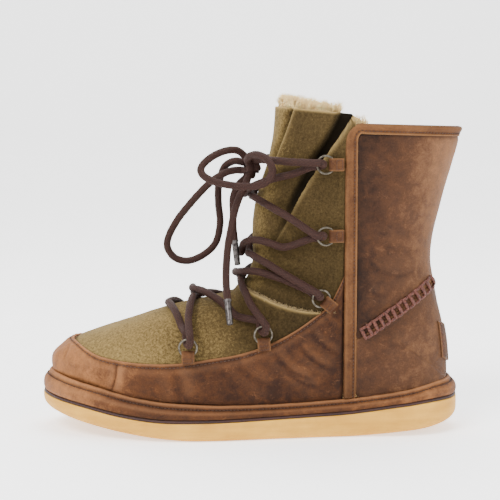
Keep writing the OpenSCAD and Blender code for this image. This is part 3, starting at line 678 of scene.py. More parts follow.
def rubber(name, dark, light, depth=0.00015):
    m = Shader(name)
    mottle = m.noise(60.0, 4.0, 0.6)
    grit = m.noise(900.0, 3.0, 0.7)
    streak = m.noise(30.0, 3.0, 0.6, vector=m.scaled((1.0, 1.0, 9.0)))
    tone = m.weighed((mottle, 0.5), (streak, 0.5))
    colour = m.ramp(tone, [(0.35, dark), (0.65, light)])
    m.bump([(streak, depth * 1.5), (grit, depth)])
    return m.finish(Base_Color=colour, Roughness=m.span(grit, 0.3, 0.7, 0.55, 0.72),
                    Specular_IOR_Level=0.35)


def metal(name, dark, light, rough=0.34):
    m = Shader(name)
    tarnish = m.noise(420.0, 4.0, 0.7)
    brushed = m.noise(700.0, 3.0, 0.6, vector=m.scaled((1.0, 1.0, 6.0)))
    colour = m.ramp(tarnish, [(0.38, dark), (0.6, light)])
    m.bump([(brushed, 0.00004)])
    return m.finish(Base_Color=colour, Metallic=1.0,
                    Roughness=m.span(tarnish, 0.3, 0.7, rough, rough + 0.22))


def braid(name, dark, mid, light, strands=8.0, pitch=330.0):
    """Round braided cord. The mesh's uv holds the turn around it and the metres along it."""
    m = Shader(name)
    uv = m.node("ShaderNodeUVMap", uv_map="lay").outputs["UV"]
    split = m.node("ShaderNodeSeparateXYZ", {0: uv})
    around = m.maths("MULTIPLY", split.outputs[0], strands)
    along = m.maths("MULTIPLY", split.outputs[1], pitch)
    ridges = []
    for sign in ("ADD", "SUBTRACT"):
        phase = m.maths(sign, around, along)
        ridges.append(m.maths("ABSOLUTE", m.maths("SINE", m.maths("MULTIPLY", phase, math.pi))))
    weave = m.maths("MULTIPLY", ridges[0], ridges[1])
    fuzz = m.noise(1400.0, 3.0, 0.7)
    fibre = m.node("ShaderNodeTexNoise", {"Vector": m.node("ShaderNodeVectorMath", {
        0: uv, 1: (30.0, 260.0, 1.0)}, operation="MULTIPLY").outputs[0], "Scale": 1.0,
        "Detail": 4.0, "Roughness": 0.7}).outputs["Fac"]
    tone = m.weighed((weave, 0.10), (fuzz, 0.42), (fibre, 0.48))
    colour = m.ramp(tone, [(0.3, dark), (0.5, mid), (0.72, light)])
    m.bump([(weave, 0.00007), (fibre, 0.00030), (fuzz, 0.00018)])
    return m.finish(Base_Color=colour, Roughness=0.75, Specular_IOR_Level=0.2,
                    Sheen_Weight=0.06, Sheen_Roughness=0.4,
                    Sheen_Tint=(0.5, 0.25, 0.18, 1.0))


def thread(name, dark, light):
    m = Shader(name)
    ply = m.noise(900.0, 3.0, 0.65)
    colour = m.ramp(ply, [(0.35, dark), (0.65, light)])
    m.bump([(ply, 0.00015)])
    return m.finish(Base_Color=colour, Roughness=0.62, Specular_IOR_Level=0.35)


BROWN = leather("brown_oiled", (0.019, 0.0062, 0.0021), (0.070, 0.0250, 0.0082),
                (0.25, 0.102, 0.036), (0.33, 0.145, 0.06), patches=20.0, gloss=0.56)
DARK = leather("dark_oiled", (0.014, 0.0050, 0.0020), (0.056, 0.0228, 0.0098),
               (0.175, 0.082, 0.038), (0.25, 0.12, 0.055), patches=16.0, gloss=0.56)
TAN = leather("tan_strip", (0.042, 0.0155, 0.0055), (0.110, 0.045, 0.0165),
              (0.21, 0.096, 0.037), (0.29, 0.14, 0.052), patches=34.0, gloss=0.6)
OLIVE = suede("olive_nap", (0.017, 0.0105, 0.0035), (0.062, 0.040, 0.0145),
              (0.26, 0.175, 0.062))
PILE = fleece("cream_pile", (0.70, 0.44, 0.15), (0.97, 0.73, 0.30), (1.0, 0.92, 0.50))
SOLE = rubber("pale_rubber", (0.47, 0.22, 0.019), (0.62, 0.325, 0.038))
STRIPE = rubber("dark_rubber", (0.016, 0.005, 0.0035), (0.036, 0.011, 0.007))
FOAM = rubber("foam", (0.55, 0.42, 0.25), (0.68, 0.53, 0.33), depth=0.0003)
BOARD = rubber("fibre_board", (0.42, 0.30, 0.18), (0.55, 0.42, 0.26), depth=0.0003)
NICKEL = metal("antique_nickel", (0.05, 0.041, 0.030), (0.17, 0.150, 0.120), rough=0.4)
SLEEVE = metal("dark_sleeve", (0.03, 0.026, 0.025), (0.13, 0.115, 0.11), rough=0.28)
CORD = braid("braided_lace", (0.009, 0.0033, 0.0024), (0.024, 0.0086, 0.0058),
             (0.050, 0.0195, 0.013))
SEW = thread("seam_cord", (0.028, 0.0075, 0.005), (0.13, 0.038, 0.023))
FINE = thread("fine_thread", (0.020, 0.007, 0.004), (0.055, 0.022, 0.011))



def sew(name, line, normals, material=FINE, **kind):
    points, faces = stitches(line, normals, **kind)
    make(name, points, faces, material)


# ---------------------------------------------------------------------------
# Lace: route through the rings, as in the CAD model, then the bow
# ---------------------------------------------------------------------------
RING_SEATS = [(-38, 59.5, 90, 10.5), (9, 67, 95, 10.5), (46, 90.5, 140, 11),
              (49, 130, 180, 11.5), (49, 175, 180, 11.5)]
RINGS = len(RING_SEATS)
TAB_ROOT_H, RING_H = 2.5, 7.3
RING_R, RING_WIRE = 5.6, 1.3
STRAP_W, STRAP_T = 8.0, 0.8
SLOT_BACK, SLOT_FRONT, SLOT_H = 6.9, 2.75, 2.1
CROSSINGS = [5.5, 6.4, 8.7, 10.2, 15.3]
LACE_R = 2.4
LOW_H = LACE_R + 0.1
HIGH_H = LOW_H + 2 * LACE_R + 0.2
TURN_H, TURN_X, TURN_SPREAD, TURN_LEAD = 4.6, 3.85, 1.4, 2.5
UPPER_START_H, STRAND_STEPS = 11, 7
KNOT = np.array([2.0, -3, 172])
KNOT_ENTRY, KNOT_APART = np.array([4.0, 0, -1]), 4.5
KNOT_STATION, KNOT_H = 16.7, 8
LOOP_LATERAL = [
    (-1, -5, 178), (-7, -8, 183), (-15, -14, 183), (-24, -20, 179), (-30, -24, 173),
    (-29, -27, 168), (-22, -29, 164), (-13, -31, 162), (-3, -33, 161), (7, -36, 162),
    (13, -39, 166), (15, -40, 172), (12, -36, 178), (6, -29, 181), (1, -21, 180),
    (-1, -13, 177)]
LOOP_MEDIAL = [
    (-3, 1, 175), (-9, 2, 176), (-15, 5, 173), (-18, 7, 167), (-20, 9, 158), (-20, 11, 147),
    (-19, 12, 134), (-22, 12, 121), (-30, 12, 113), (-40, 11, 109), (-49, 10, 111),
    (-54, 9, 118), (-53, 8, 126), (-47, 6, 137), (-40, 4, 146), (-33, 2, 154), (-25, 0, 162),
    (-16, -2, 168), (-9, -2, 170), (-4, -2, 170)]
END_LATERAL = [
    (0, -10, 167), (-2, -15, 161), (-6, -20, 153), (-9, -23, 144), (-11, -25, 134),
    (-13, -29, 123), (-14, -34, 111), (-14, -40, 100), (-13, -45, 90)]
END_MEDIAL = [
    (-2, -3, 165), (-7, -5, 160), (-10, -6, 152), (-10, -6, 143), (-10, -7, 133),
    (-9, -8, 124)]


def ring_frame(i, side):
    """Centre of a ring, and directions along its tab, across the strap and out of the ring."""
    x, z, turned, back = RING_SEATS[i]
    tilt = math.asin((RING_H - TAB_ROOT_H) / (back + RING_R))
    aim = np.array([math.cos(math.radians(turned)), 0, math.sin(math.radians(turned))])
    s, v = seat(x - back * math.cos(tilt) * aim[0], z - back * math.cos(tilt) * aim[2], side)
    n = normal(s, side * v)
    flat = unit(aim - n * (aim @ n))
    along = math.cos(tilt) * flat + math.sin(tilt) * n
    out = math.cos(tilt) * n - math.sin(tilt) * flat
    centre = lift(s, side * v, TAB_ROOT_H) + back * along
    return centre, along, np.cross(out, along), out


FRAMES = {(i, side): ring_frame(i, side) for i in range(RINGS) for side in (LATERAL, MEDIAL)}


def from_ring(f, p):
    p = np.asarray(p, float)
    return f[0] + p[..., :1] * f[1] + p[..., 1:2] * f[2] + p[..., 2:] * f[3]


def turn_points(i, side):
    """The lace's turn through a ring, from above it to below it."""
    spots = [(RING_R + TURN_LEAD, side * TURN_SPREAD, TURN_H)]
    for degrees in range(90, -91, -30):
        a = math.radians(degrees)
        spots.append((RING_R - TURN_X * math.cos(a), side * TURN_SPREAD * math.sin(a),
                      TURN_H * math.sin(a)))
    spots.append((RING_R + TURN_LEAD, -side * TURN_SPREAD, -TURN_H))
    return list(from_ring(FRAMES[i, side], spots))


def half_strand(i, side, start_h, cross_s, cross_h):
    s, v = seat(RING_SEATS[i][0], RING_SEATS[i][1], side)
    return [lift(mix(s, cross_s, t), side * mix(v, 0, t), mix(start_h, cross_h, t))
            for t in np.arange(2, STRAND_STEPS + 1) / STRAND_STEPS]


def lace_side(side):
    """From the knot down to the lowest crossing, through the rings on alternate sides."""
    route = []
    for i in range(RINGS - 1, -1, -1):
        here = side if (RINGS - 1 - i) % 2 == 0 else -side
        lower = half_strand(i, here, LOW_H, CROSSINGS[i],
                            HIGH_H if i > 0 and here < 0 else LOW_H)
        if i == RINGS - 1:
            s, v = seat(RING_SEATS[i][0], RING_SEATS[i][1], here)
            to_knot = [lift(mix(s, KNOT_STATION, t), here * mix(v, 0, t),
                            mix(UPPER_START_H, KNOT_H, t))
                       for t in np.arange(2, STRAND_STEPS) / STRAND_STEPS]
            start = [KNOT + KNOT_ENTRY + np.array([0, side * KNOT_APART, 0])] + to_knot[::-1]
        else:
            upper = half_strand(i, here, UPPER_START_H, CROSSINGS[i + 1],
                                HIGH_H if here > 0 else LOW_H)
            start = upper[::-1]
        route += (start + turn_points(i, here) + lower)[:-1]
    return route


def braided(path, radius):
    """Points, faces and uv of a cord: each thread of the braid stands out a little."""
    sides, plaits, plait_length = 20, 4, 6.0
    along = run_along(path)
    turn = np.linspace(0, 1, sides, endpoint=False)
    ridge = [np.abs(np.sin(np.pi * (plaits * turn + sign * along[:, None] / plait_length)))
             for sign in (1, -1)]
    ridge = ridge[0] * ridge[1]
    points, faces = tube(path, radius * (0.97 + 0.05 * ridge), sides)
    uv = np.stack([np.broadcast_to(turn, ridge.shape).ravel(),
                   np.repeat(along * MM, sides)], axis=1)
    return points, faces, np.vstack([uv, uv[:1], uv[-1:]])


def cord_mesh(name, *cords):
    """One piece of lace from (path, radius) pairs."""
    parts = [braided(*cord) for cord in cords]
    points, faces = joined([part[:2] for part in parts])
    return make(name, points, faces, CORD, uv=np.vstack([part[2] for part in parts]),
                stands_for=[name])


def free_cord(name, route):
    path = smooth_path(route, 0.7)
    piece = cord_mesh(name, (path, LACE_R))
    return piece


def aglet(name, route):
    """A metal sleeve, crimped at both ends, closed over the tip of the lace."""
    path = smooth_path(route, 0.7)
    along = unit(path[-1] - path[-4])
    marks = [(-0.6, 2.35), (-0.3, 2.5), (0.2, 2.5), (0.5, 2.3), (0.9, 2.05), (1.4, 2.0),
             (2.0, 2.1), (8.0, 2.12), (12.0, 2.1), (13.2, 2.0), (13.7, 1.86), (14.2, 2.0),
             (15.2, 2.02), (15.7, 1.85), (15.95, 1.4), (16.0, 0.5)]
    at = np.array([m[0] for m in marks])
    spine = path[-1] + at[:, None] * along
    sides = 28
    turn = circle(sides)
    r = np.array([m[1] for m in marks])[:, None] * np.ones(sides)
    fold = 0.16 * bump((turn - np.pi * 1.5), 0.16)
    r = r - fold * ((at > 1) & (at < 15.5))[:, None]
    points, faces = tube(spine, r, sides)
    return make(name, points, faces, SLEEVE, stands_for=[name])


lateral_sleeve = aglet("aglet_lateral", END_LATERAL)
medial_sleeve = aglet("aglet_medial", END_MEDIAL)
free_cord("bow_loop_lateral", LOOP_LATERAL)
free_cord("bow_loop_medial", LOOP_MEDIAL)
free_cord("lace_end_lateral", END_LATERAL)
free_cord("lace_end_medial", END_MEDIAL)

lowest = [lift(CROSSINGS[0], 0, LOW_H)]
lace_route = lace_side(LATERAL) + lowest + lace_side(MEDIAL)[::-1]
cord_mesh("lace", (smooth_path(lace_route, 0.8), LACE_R))


def knot_piece():
    """The bow's knot: two turns of lace around the crossed ends, drawn tight."""
    t = np.linspace(-0.12, 2.2, 90)
    a = 2 * np.pi * t
    wrap = KNOT + np.stack([-2.6 + 4.6 * t / 2.2 + 0.7 * np.sin(a * 0.5),
                            5.1 * np.cos(a + 0.6), 5.3 * np.sin(a + 0.6)], axis=1)
    routes = ([(7, 2.2, 170.5), (4, 2, 172), (0, -2, 174.5), (-1, -5, 178)],
              [(7, -7.5, 170.5), (3, -7, 171), (-1, -5, 170), (-4, -2, 170)],
              [(5, -3, 175), (1, 0, 175.5), (-3, 1, 175)],
              [(4, -4, 171), (2, -7, 169.5), (0, -10, 167)],
              [(3, -3, 170), (0, -3, 168), (-2, -3, 165)],
              [(2, -6, 175), (0, -10, 176.5), (-1, -13, 177)])
    cord_mesh("bow_knot", (smooth_path(wrap, 0.6), 2.35),
              *((smooth_path(route, 0.6), LACE_R) for route in routes))


knot_piece()

# ---------------------------------------------------------------------------
# Rings and their tabs
# ---------------------------------------------------------------------------


RING_STEPS, WIRE_SIDES = 72, 16


def lace_ring(i, side, name):
    turn = circle(RING_STEPS)
    path = np.stack([RING_R * np.cos(turn), RING_R * np.sin(turn), 0 * turn], axis=1)
    k = circle(WIRE_SIDES)
    dent = 0.03 * noise(path, 2.2, seed=i + 5 * side)
    r = (RING_WIRE / 2 + dent)[:, None]
    local = path[:, None] * (1 + r * np.cos(k) / RING_R)[..., None] * np.array([1, 1, 0]) \
        + (r * np.sin(k))[..., None] * np.array([0, 0, 1])
    make(name, from_ring(FRAMES[i, side], local.reshape(-1, 3)),
         [grid_faces(RING_STEPS, WIRE_SIDES, wrap_n=True, wrap_m=True)], NICKEL, body=name,
         stands_for=[name])


def strap_line(back, half_gap, sewn_gap):
    """A face of the folded strap in side view, from its upper end around the ring to its lower
    end. Behind the slot the two layers lie half a sewn_gap from the middle."""
    bend = -SLOT_FRONT - SLOT_H / 2
    a = np.radians(np.linspace(90, -90, 15))
    run = [-back + t * (back + bend) for t in np.linspace(0, 1, 14)]
    legs = [[(x, sign * (sewn_gap if x < -SLOT_BACK else half_gap)) for x in run]
            for sign in (1, -1)]
    fold = [(bend + half_gap * math.cos(x), half_gap * math.sin(x)) for x in a[1:-1]]
    return np.array(legs[0] + fold + legs[1][::-1])


def ring_tab(i, side, name):
    """A strap folded around the back of its ring and sewn down behind it."""
    f = FRAMES[i, side]
    back, half = RING_SEATS[i][3], STRAP_W / 2
    outer = SLOT_H / 2 + STRAP_T
    across = np.array([-1, -0.985, -0.95, -0.88, -0.6, -0.3, 0, 0.3, 0.6, 0.88, 0.95, 0.985, 1])
    droop = 0.32 * np.clip((np.abs(across) - 0.86) / 0.14, 0, 1) ** 2

    def surface(line, outward):
        t = unit(np.gradient(line, axis=0))
        n = outward * np.column_stack([-t[:, 1], t[:, 0]])
        wave = 0.12 * noise(np.column_stack([line, 0 * line[:, 0]]), 3.0, seed=11 + i)
        p = line[:, None] - n[:, None] * (droop if outward > 0 else droop * 0.6)[:, None]
        return np.stack([p[..., 0], across * half + wave[:, None], p[..., 1]], axis=-1)

    line = strap_line(back, outer, outer)
    points, faces = shell(surface(line, 1), surface(strap_line(back, SLOT_H / 2, 0.05), -1))
    edge = np.tile(smoothstep(0.8, 1.0, np.abs(across)), len(line))
    make(name, from_ring(f, points), [faces], TAN, stands_for=[name],
         shades={"wear_and_highlight": np.concatenate([edge * 0.3, np.full(edge.size, 0.1)]),
                 "shade_and_soil": np.zeros(len(points)), "tone": np.full(len(points), 0.03)})
    # Seam around the sewn part, on the outer face
    x0, x1, y = -back + 1.2, -SLOT_BACK + 0.3, half - 1.1
    box = [(x1, -y), (x0, -y), (x0, y), (x1, y), (x1, -y)]
    seam = np.vstack([np.linspace((*a, outer), (*b, outer), 12)[:-1]
                      for a, b in zip(box[:-1], box[1:])])
    sew(name + "_stitching", from_ring(f, seam), np.tile(f[3], (len(seam), 1)), pitch=1.35,
        length=1.05, width=0.4, rise=0.1)


for i in range(RINGS):
    for label, side in SIDES.items():
        lace_ring(i, side, f"ring_{label}_{i + 1}")
        ring_tab(i, side, f"tab_{label}_{i + 1}")

# ---------------------------------------------------------------------------
# Sole
# ---------------------------------------------------------------------------
OUTLINE = smooth_path(PLAN, 1.3, closed=True)[:-1]
OUTWARD = np.roll(OUTLINE, -1, axis=0) - np.roll(OUTLINE, 1, axis=0)
OUTWARD = unit(np.stack([OUTWARD[:, 1], -OUTWARD[:, 0]], axis=1))
INSOLE_INSET, FOXING_W = 18, 9


def ground(x):
    return lookup(x, GROUND_Z)


def stripe_top(x):
    return lookup(x, STRIPE_Z)


def feather(x):
    return lookup(x, FEATHER_Z)


def rim(inset):
    return OUTLINE - np.asarray(inset)[..., None] * OUTWARD


def ring_at(inset, height):
    """Points around the sole, drawn in by a distance, at a height function of x."""
    p = rim(np.full(len(OUTLINE), float(inset)))
    return np.column_stack([p, height(p[:, 0])])


def shrunk(ring, share, height):
    """A ring of the sole drawn towards its middle line."""
    middle = np.column_stack([np.clip(ring[:, 0], -92, 96), np.full(len(ring), 2.0)])
    p = mix(middle, ring[:, :2], share)
    return np.column_stack([p, height(p[:, 0], p[:, 1])])


LID_SHARES = (0.0, 0.12, 0.25, 0.4, 0.55, 0.7, 0.82, 0.92)


def sole_solid(name, rings, material, bottom, top, tip=None):
    """Walls through rings from the bottom up, closed below and above by shrinking rings. bottom
    and top give those lids' heights, and tip is the pile's shade."""
    grid = np.array([shrunk(rings[0], t, bottom) for t in LID_SHARES] + rings
                    + [shrunk(rings[-1], t, top) for t in LID_SHARES[::-1]])
    faces = grid_faces(len(grid), len(OUTLINE), wrap_m=True)[:, ::-1]
    points, faces, _ = welded(grid.reshape(-1, 3), faces)
    make(name, points, faces, material, stands_for=[name],
         shades={} if tip is None else {"tip": np.full(len(points), tip)})


def tread(x, y):
    """Shallow waves across the underside, a little above the ground."""
    wave = np.sin(2 * np.pi * (x + 3.5 * np.sin(y / 7.0)) / 8.5)
    return ground(x) + 0.9 * smoothstep(0.25, 0.75, wave) + 0.02


def above(base, rise):
    """A height function of x alone, and one of x and y, a distance above another."""
    return (lambda x: base(x) + rise), (lambda x, y: base(x) + rise)


def outsole_top(x):
    return stripe_top(x) - STRIPE_T


sole_side = [ring_at(inset, above(ground, rise)[0]) for inset, rise in
             ((6.5, 0.02), (4.2, 0.03), (3.0, 0.25), (2.0, 0.75), (1.2, 1.5), (0.6, 2.5),
              (0.22, 3.7), (0.05, 5.0))]
for share in (0.35, 0.5, 0.65, 0.8, 0.92, 0.985):
    sole_side.append(ring_at(0.0 if share < 0.9 else 0.12,
                             lambda x: mix(ground(x) + 5, outsole_top(x), share)))
sole_lid = above(outsole_top, -0.02)
sole_side += [ring_at(inset, sole_lid[0]) for inset in (0.55, 3.0)]
sole_solid("outsole", sole_side, SOLE, tread, sole_lid[1])

stripe_side = [ring_at(inset, above(stripe_top, rise)[0]) for inset, rise in
               ((3.0, -1.98), (0.85, -1.98), (0.5, -1.7), (0.4, -1.1), (0.5, -0.5),
                (0.8, -0.1), (3.0, -0.08))]
sole_solid("rand_stripe", stripe_side, STRIPE, above(stripe_top, -1.98)[1],
           above(stripe_top, -0.08)[1])

# Leather rolled over the edge of the sole: a full band, a stitched groove and a bead against
# the upper, as [inset, share of its height, rise]
FOXING_PROFILE = [
    (9.0, 0.0, 0), (4.0, 0.0, 0), (1.6, 0.0, 0.05), (0.8, 0.03, 0), (0.35, 0.1, 0),
    (0.08, 0.2, 0), (0.0, 0.32, 0), (0.06, 0.44, 0), (0.35, 0.56, 0), (0.85, 0.67, 0),
    (1.5, 0.76, 0), (2.1, 0.81, 0), (2.6, 0.825, 0), (2.95, 0.815, 0), (3.2, 0.83, 0),
    (3.4, 0.88, 0), (3.7, 0.95, 0.1), (4.1, 1.0, 0.4), (4.6, 1.0, 1.0), (5.2, 1.0, 1.5),
    (5.8, 1.0, 1.6), (6.4, 1.0, 1.1), (7.2, 1.0, 0.3), (9.0, 1.0, -0.4)]
GROOVE_AT, BEAD_AT = 2.95, 4.7


def foxing_point(inset, share, rise):
    p = rim(np.full(len(OUTLINE), float(inset)))
    z = mix(stripe_top(p[:, 0]), feather(p[:, 0]), share) + rise
    return np.column_stack([p, z])


foxing = np.array([foxing_point(*q) for q in FOXING_PROFILE])
pucker = 0.22 * noise(foxing * np.array([1, 1, 0.35]), 5.0, seed=3) \
    + 0.3 * noise(foxing, 24.0, seed=4)
profile = np.array(FOXING_PROFILE)
exposed = ((profile[:, 0] < 7) & (profile[:, 1] > 0.02))[:, None]
foxing[..., :2] += (pucker * exposed)[..., None] * OUTWARD * 0.8
foxing[..., 2] += pucker * exposed * smoothstep(0.8, 1.0, profile[:, 1])[:, None]
n_out = len(OUTLINE)
bead = bump(profile[:, 0] - BEAD_AT, 0.8) * (profile[:, 1] > 0.9)
# Painted highlight along the middle of the rounded band
band_highlight = bump(profile[:, 1] - 0.6, 0.14) * (profile[:, 0] < 2)
# Painted shade in the stitched groove, and darker along the bottom edge
shade_and_soil = 0.6 * bump(profile[:, 0] - GROOVE_AT - 0.2, 0.45) * (profile[:, 1] > 0.7) \
    + 0.4 * smoothstep(0.10, 0.0, profile[:, 1])
make("leather_foxing", foxing.reshape(-1, 3),
     [grid_faces(len(foxing), n_out, wrap_n=True, wrap_m=True)[:, ::-1]], BROWN,
     stands_for=["leather_foxing"],
     shades={"tone": (0.27 + 0.47 * smoothstep(-50, -125, foxing[..., 0])
                      + 0.26 * smoothstep(60, 130, foxing[..., 0])
                      + 0.12 * noise(foxing, 30.0, seed=5)).ravel(),
             "wear_and_highlight": np.repeat(0.5 * bead + 0.22 * band_highlight, n_out),
             "shade_and_soil": np.repeat(shade_and_soil, n_out)})
groove = foxing_point(GROOVE_AT, 0.82, 0)
outwards = unit(np.column_stack([0.6 * OUTWARD, np.full(n_out, 0.8)]))
groove, outwards = (np.vstack([a, a[:1]]) for a in (groove, outwards))
sew("foxing_stitching", groove, outwards, pitch=2.3, length=1.7, width=0.62, rise=0.4)


def flat_layer(name, inset, low, high, material, rough=0.0, tip=None):
    """A layer inside the foxing, between two heights above the feather edge."""
    rings = [ring_at(inset, above(feather, rise)[0]) for rise in (low, mix(low, high, 0.6))]
    rings.append(ring_at(inset + 1.5, above(feather, high)[0]))

    def top(x, y):
        p = np.stack([x, y, 0 * x], axis=-1)
        return feather(x) + high + rough * noise(p, 5.0, seed=9)
    sole_solid(name, rings, material, above(feather, low)[1], top, tip)


flat_layer("insole_board", INSOLE_INSET, 0.1, 2.1, BOARD)
flat_layer("footbed", INSOLE_INSET + 0.5, 2.2, 7.4, PILE, rough=0.5, tip=0.85)
core_side = [ring_at(FOXING_W + 0.3, height) for height in
             (stripe_top, lambda x: mix(stripe_top(x), feather(x), 0.5), feather)]
sole_solid("midsole_core", core_side, FOAM, above(stripe_top, 0)[1],
           above(feather, 0)[1])

# ---------------------------------------------------------------------------
# Panels of the upper
# ---------------------------------------------------------------------------


def spacing(length, step, start=True, end=True):
    """Shares from 0 to 1 along a length in mm: an even step, closer at the edges."""
    edge = [0, 0.12, 0.28, 0.48, 0.75, 1.1, 1.6]
    a = edge if start else [0]
    b = edge if end else [0]
    count = max(2, int(round((length - a[-1] - b[-1]) / step)) + 1)
    middle = np.linspace(a[-1], length - b[-1], count)
    return np.unique(np.round(np.concatenate([a, middle, length - np.array(b)]) / length, 6))


def edge_distances(p):
    """Distances over a grid of points (n, m, 3) to its first and last rows and columns."""
    over_n = np.linalg.norm(np.diff(p, axis=0), axis=-1)
    over_m = np.linalg.norm(np.diff(p, axis=1), axis=-1)
    zero_n, zero_m = np.zeros((1, p.shape[1])), np.zeros((p.shape[0], 1))
    return {"u0": np.vstack([zero_n, np.cumsum(over_n, axis=0)]),
            "u1": np.vstack([np.cumsum(over_n[::-1], axis=0)[::-1], zero_n]),
            "w0": np.hstack([zero_m, np.cumsum(over_m, axis=1)]),
            "w1": np.hstack([np.cumsum(over_m[:, ::-1], axis=1)[:, ::-1], zero_m])}


def even_chart(f, count=500):
    """Turns shares of the length of the curve f(t) into values of t."""
    t = np.linspace(0, 1, count)
    p = f(t)
    along = run_along(p)
    return lambda share: np.interp(share, along / along[-1], t)


def without_first_wall(faces, shape):
    """A shell's faces but for its wall along the first row, which meets in a point."""
    total, columns = shape[0] * shape[1], shape[1]
    on_wall = (faces < columns) | ((faces >= total) & (faces < total + columns))
    return faces[on_wall.sum(1) < 4]


def panel(name, s, q, height, thickness, material, rolled, roll, shade,
          closed_toe=False, slide=None):
    """A piece of leather over the last. height(p, d) is its outer face's height in mm, rolled
    names the edges that are rounded, and slide moves it along the surface. Returns the outer
    grid, its normals and the distances to its edges, for the stitches on it."""
    base, n = skin(s, q), normal(s, q)
    d = edge_distances(base)
    h = height(base, d)
    drop = 0.0
    for edge in rolled:
        inside = np.clip(roll - d[edge], 0, roll)
        drop = np.maximum(drop, roll - np.sqrt(np.maximum(roll ** 2 - inside ** 2, 0)))
    outer = base + (h - drop)[..., None] * n
    deep = base + (h - thickness)[..., None] * n
    if slide is not None:
        moved = slide(base, n)
        outer, deep = outer + moved, deep + moved
    points, faces = shell(outer, deep)
    if closed_toe:
        faces = without_first_wall(faces, s.shape)
    shades = {"wear_and_highlight": np.zeros(len(points)), "shade_and_soil": np.zeros(len(points)),
              "tone": np.full(len(points), 0.4)}
    for key, values in shade(base, d).items():
        shades[key][:values.size] = np.clip(values, 0, 1).ravel()
        shades[key][values.size:] = 0.15
    points, faces, kept = welded(points, faces)
    shades = {key: values[kept] for key, values in shades.items()}
    make(name, points, faces, material, stands_for=[name], shades=shades)
    return outer, n, d


def level_line(grid, normals, distance, at):
    """The line over a grid's columns where a distance along its rows is at."""
    share = np.array([np.interp(at, distance[i], np.arange(distance.shape[1]))
                      if distance[i, -1] > distance[i, 0] else
                      np.interp(at, distance[i, ::-1], np.arange(distance.shape[1])[::-1])
                      for i in range(len(grid))])
    low = np.clip(np.floor(share).astype(int), 0, grid.shape[1] - 2)
    t = (share - low)[:, None]
    rows = np.arange(len(grid))
    return (mix(grid[rows, low], grid[rows, low + 1], t),
            unit(mix(normals[rows, low], normals[rows, low + 1], t)))


def creases(p, lines):
    """Sum of creases, each (points in the side view, depth, width, width of its swell)."""
    total = np.zeros(p.shape[:-1])
    for line, depth, width, swell in lines:
        distance, right, along = near_line(p[..., 0], p[..., 2], line)
        fade = smoothstep(0, 0.2, along) * smoothstep(1, 0.75, along)
        fade = np.where((along <= 0) | (along >= 1), 0, fade)
        beside = bump(right - 1.6 * width - swell * 0.6, swell) * 0.75 \
            + bump(right + 1.6 * width + swell * 0.5, swell) * 0.4
        total += fade * depth * (beside - bump(distance, width))
    return total


def creased(p, lines):
    """How much creases lighten at their worn swells, and the painted shade in their valleys."""
    height = creases(p, lines)
    return np.clip(height, 0, 1), np.clip(-height, 0, 1) * 0.8


# Mudguard: from its folded top edge down to the sole, around the toe. Its columns follow the
# stations around the toe, up to one that stands upright in the side view, then stand upright.
UPRIGHT_S, UPRIGHT_X, TOE_SHARE, BASE_V = 6.0, -43.0, 0.45, 0.995


def mudguard_spot(k, w):
    """Station and share from k = -1 at the lateral binding over 0 at the toe to 1 at the medial
    binding, and from w = 0 at the top edge to 1 at the sole."""
    k, w = np.broadcast_arrays(k, w)
    side = np.where(k <= 0, LATERAL, MEDIAL)
    toe_s = UPRIGHT_S * np.minimum(np.abs(k) / TOE_SHARE, 1)
    toe_v = mix(mudguard_v(toe_s, side) + 0.004, BASE_V, w)
    upright = [mix(mudguard_v(UPRIGHT_S + 0 * w, side) + 0.004, BASE_V, t) for t in (0, w, 1)]
    high, here, low = (skin(UPRIGHT_S, side * v)[..., 2] for v in upright)
    share = (high - here) / (high - low)
    x = mix(UPRIGHT_X, BINDING_X - 0.2, np.clip((np.abs(k) - TOE_SHARE) / (1 - TOE_SHARE), 0, 1))
    top = high + lookup(x, MUDGUARD_EDGE) - lookup(UPRIGHT_X, MUDGUARD_EDGE)
    foot = solve(lambda s: skin(s, side * BASE_V)[..., 0] - x, 0 * x + 4.0, 0 * x + 13.5)
    bottom = skin(foot, side * BASE_V)[..., 2]
    s, v = seat(x, mix(top, bottom, share), side, guess=(foot, 0.8), steps=20)
    toe = np.abs(k) < TOE_SHARE
    return np.where(toe, toe_s, s), side * np.where(toe, toe_v, v)


def mudguard_line(t):
    return skin(*mudguard_spot(2 * t - 1, np.full(t.shape, 0.45)))


even = even_chart(mudguard_line)
u = even(spacing(470, 0.85))
w = spacing(42, 0.85)
k, ww = np.meshgrid(2 * u - 1, w, indexing="ij")
k[np.abs(k).argmin(axis=0)[0]] = 0.0
mud_s, mud_q = mudguard_spot(k, ww)

MUD_CREASES = [
    ([(-83, 50), (-84, 42), (-86, 35), (-88, 29)], 1.0, 0.75, 2.8),
    ([(-49, 48), (-46, 40), (-44, 31), (-42, 24)], 0.3, 2.4, 5.0),
    ([(-10, 52), (-3, 44), (6, 37), (17, 32)], 0.16, 1.6, 4.0),
    ([(14, 58), (21, 49), (30, 42), (42, 37)], 0.28, 1.1, 3.2),
    ([(30, 62), (37, 54), (46, 47), (56, 43)], 0.32, 1.0, 2.8),
    ([(38, 70), (45, 62), (53, 56), (60, 53)], 0.25, 1.0, 2.6),
    ([(22, 45), (34, 36), (48, 31)], 0.2, 1.2, 3.2),
    ([(47, 80), (53, 72), (59, 68)], 0.2, 1.0, 2.2),
    ([(-116, 56), (-119, 51), (-121, 46)], 0.35, 0.8, 2.0)]


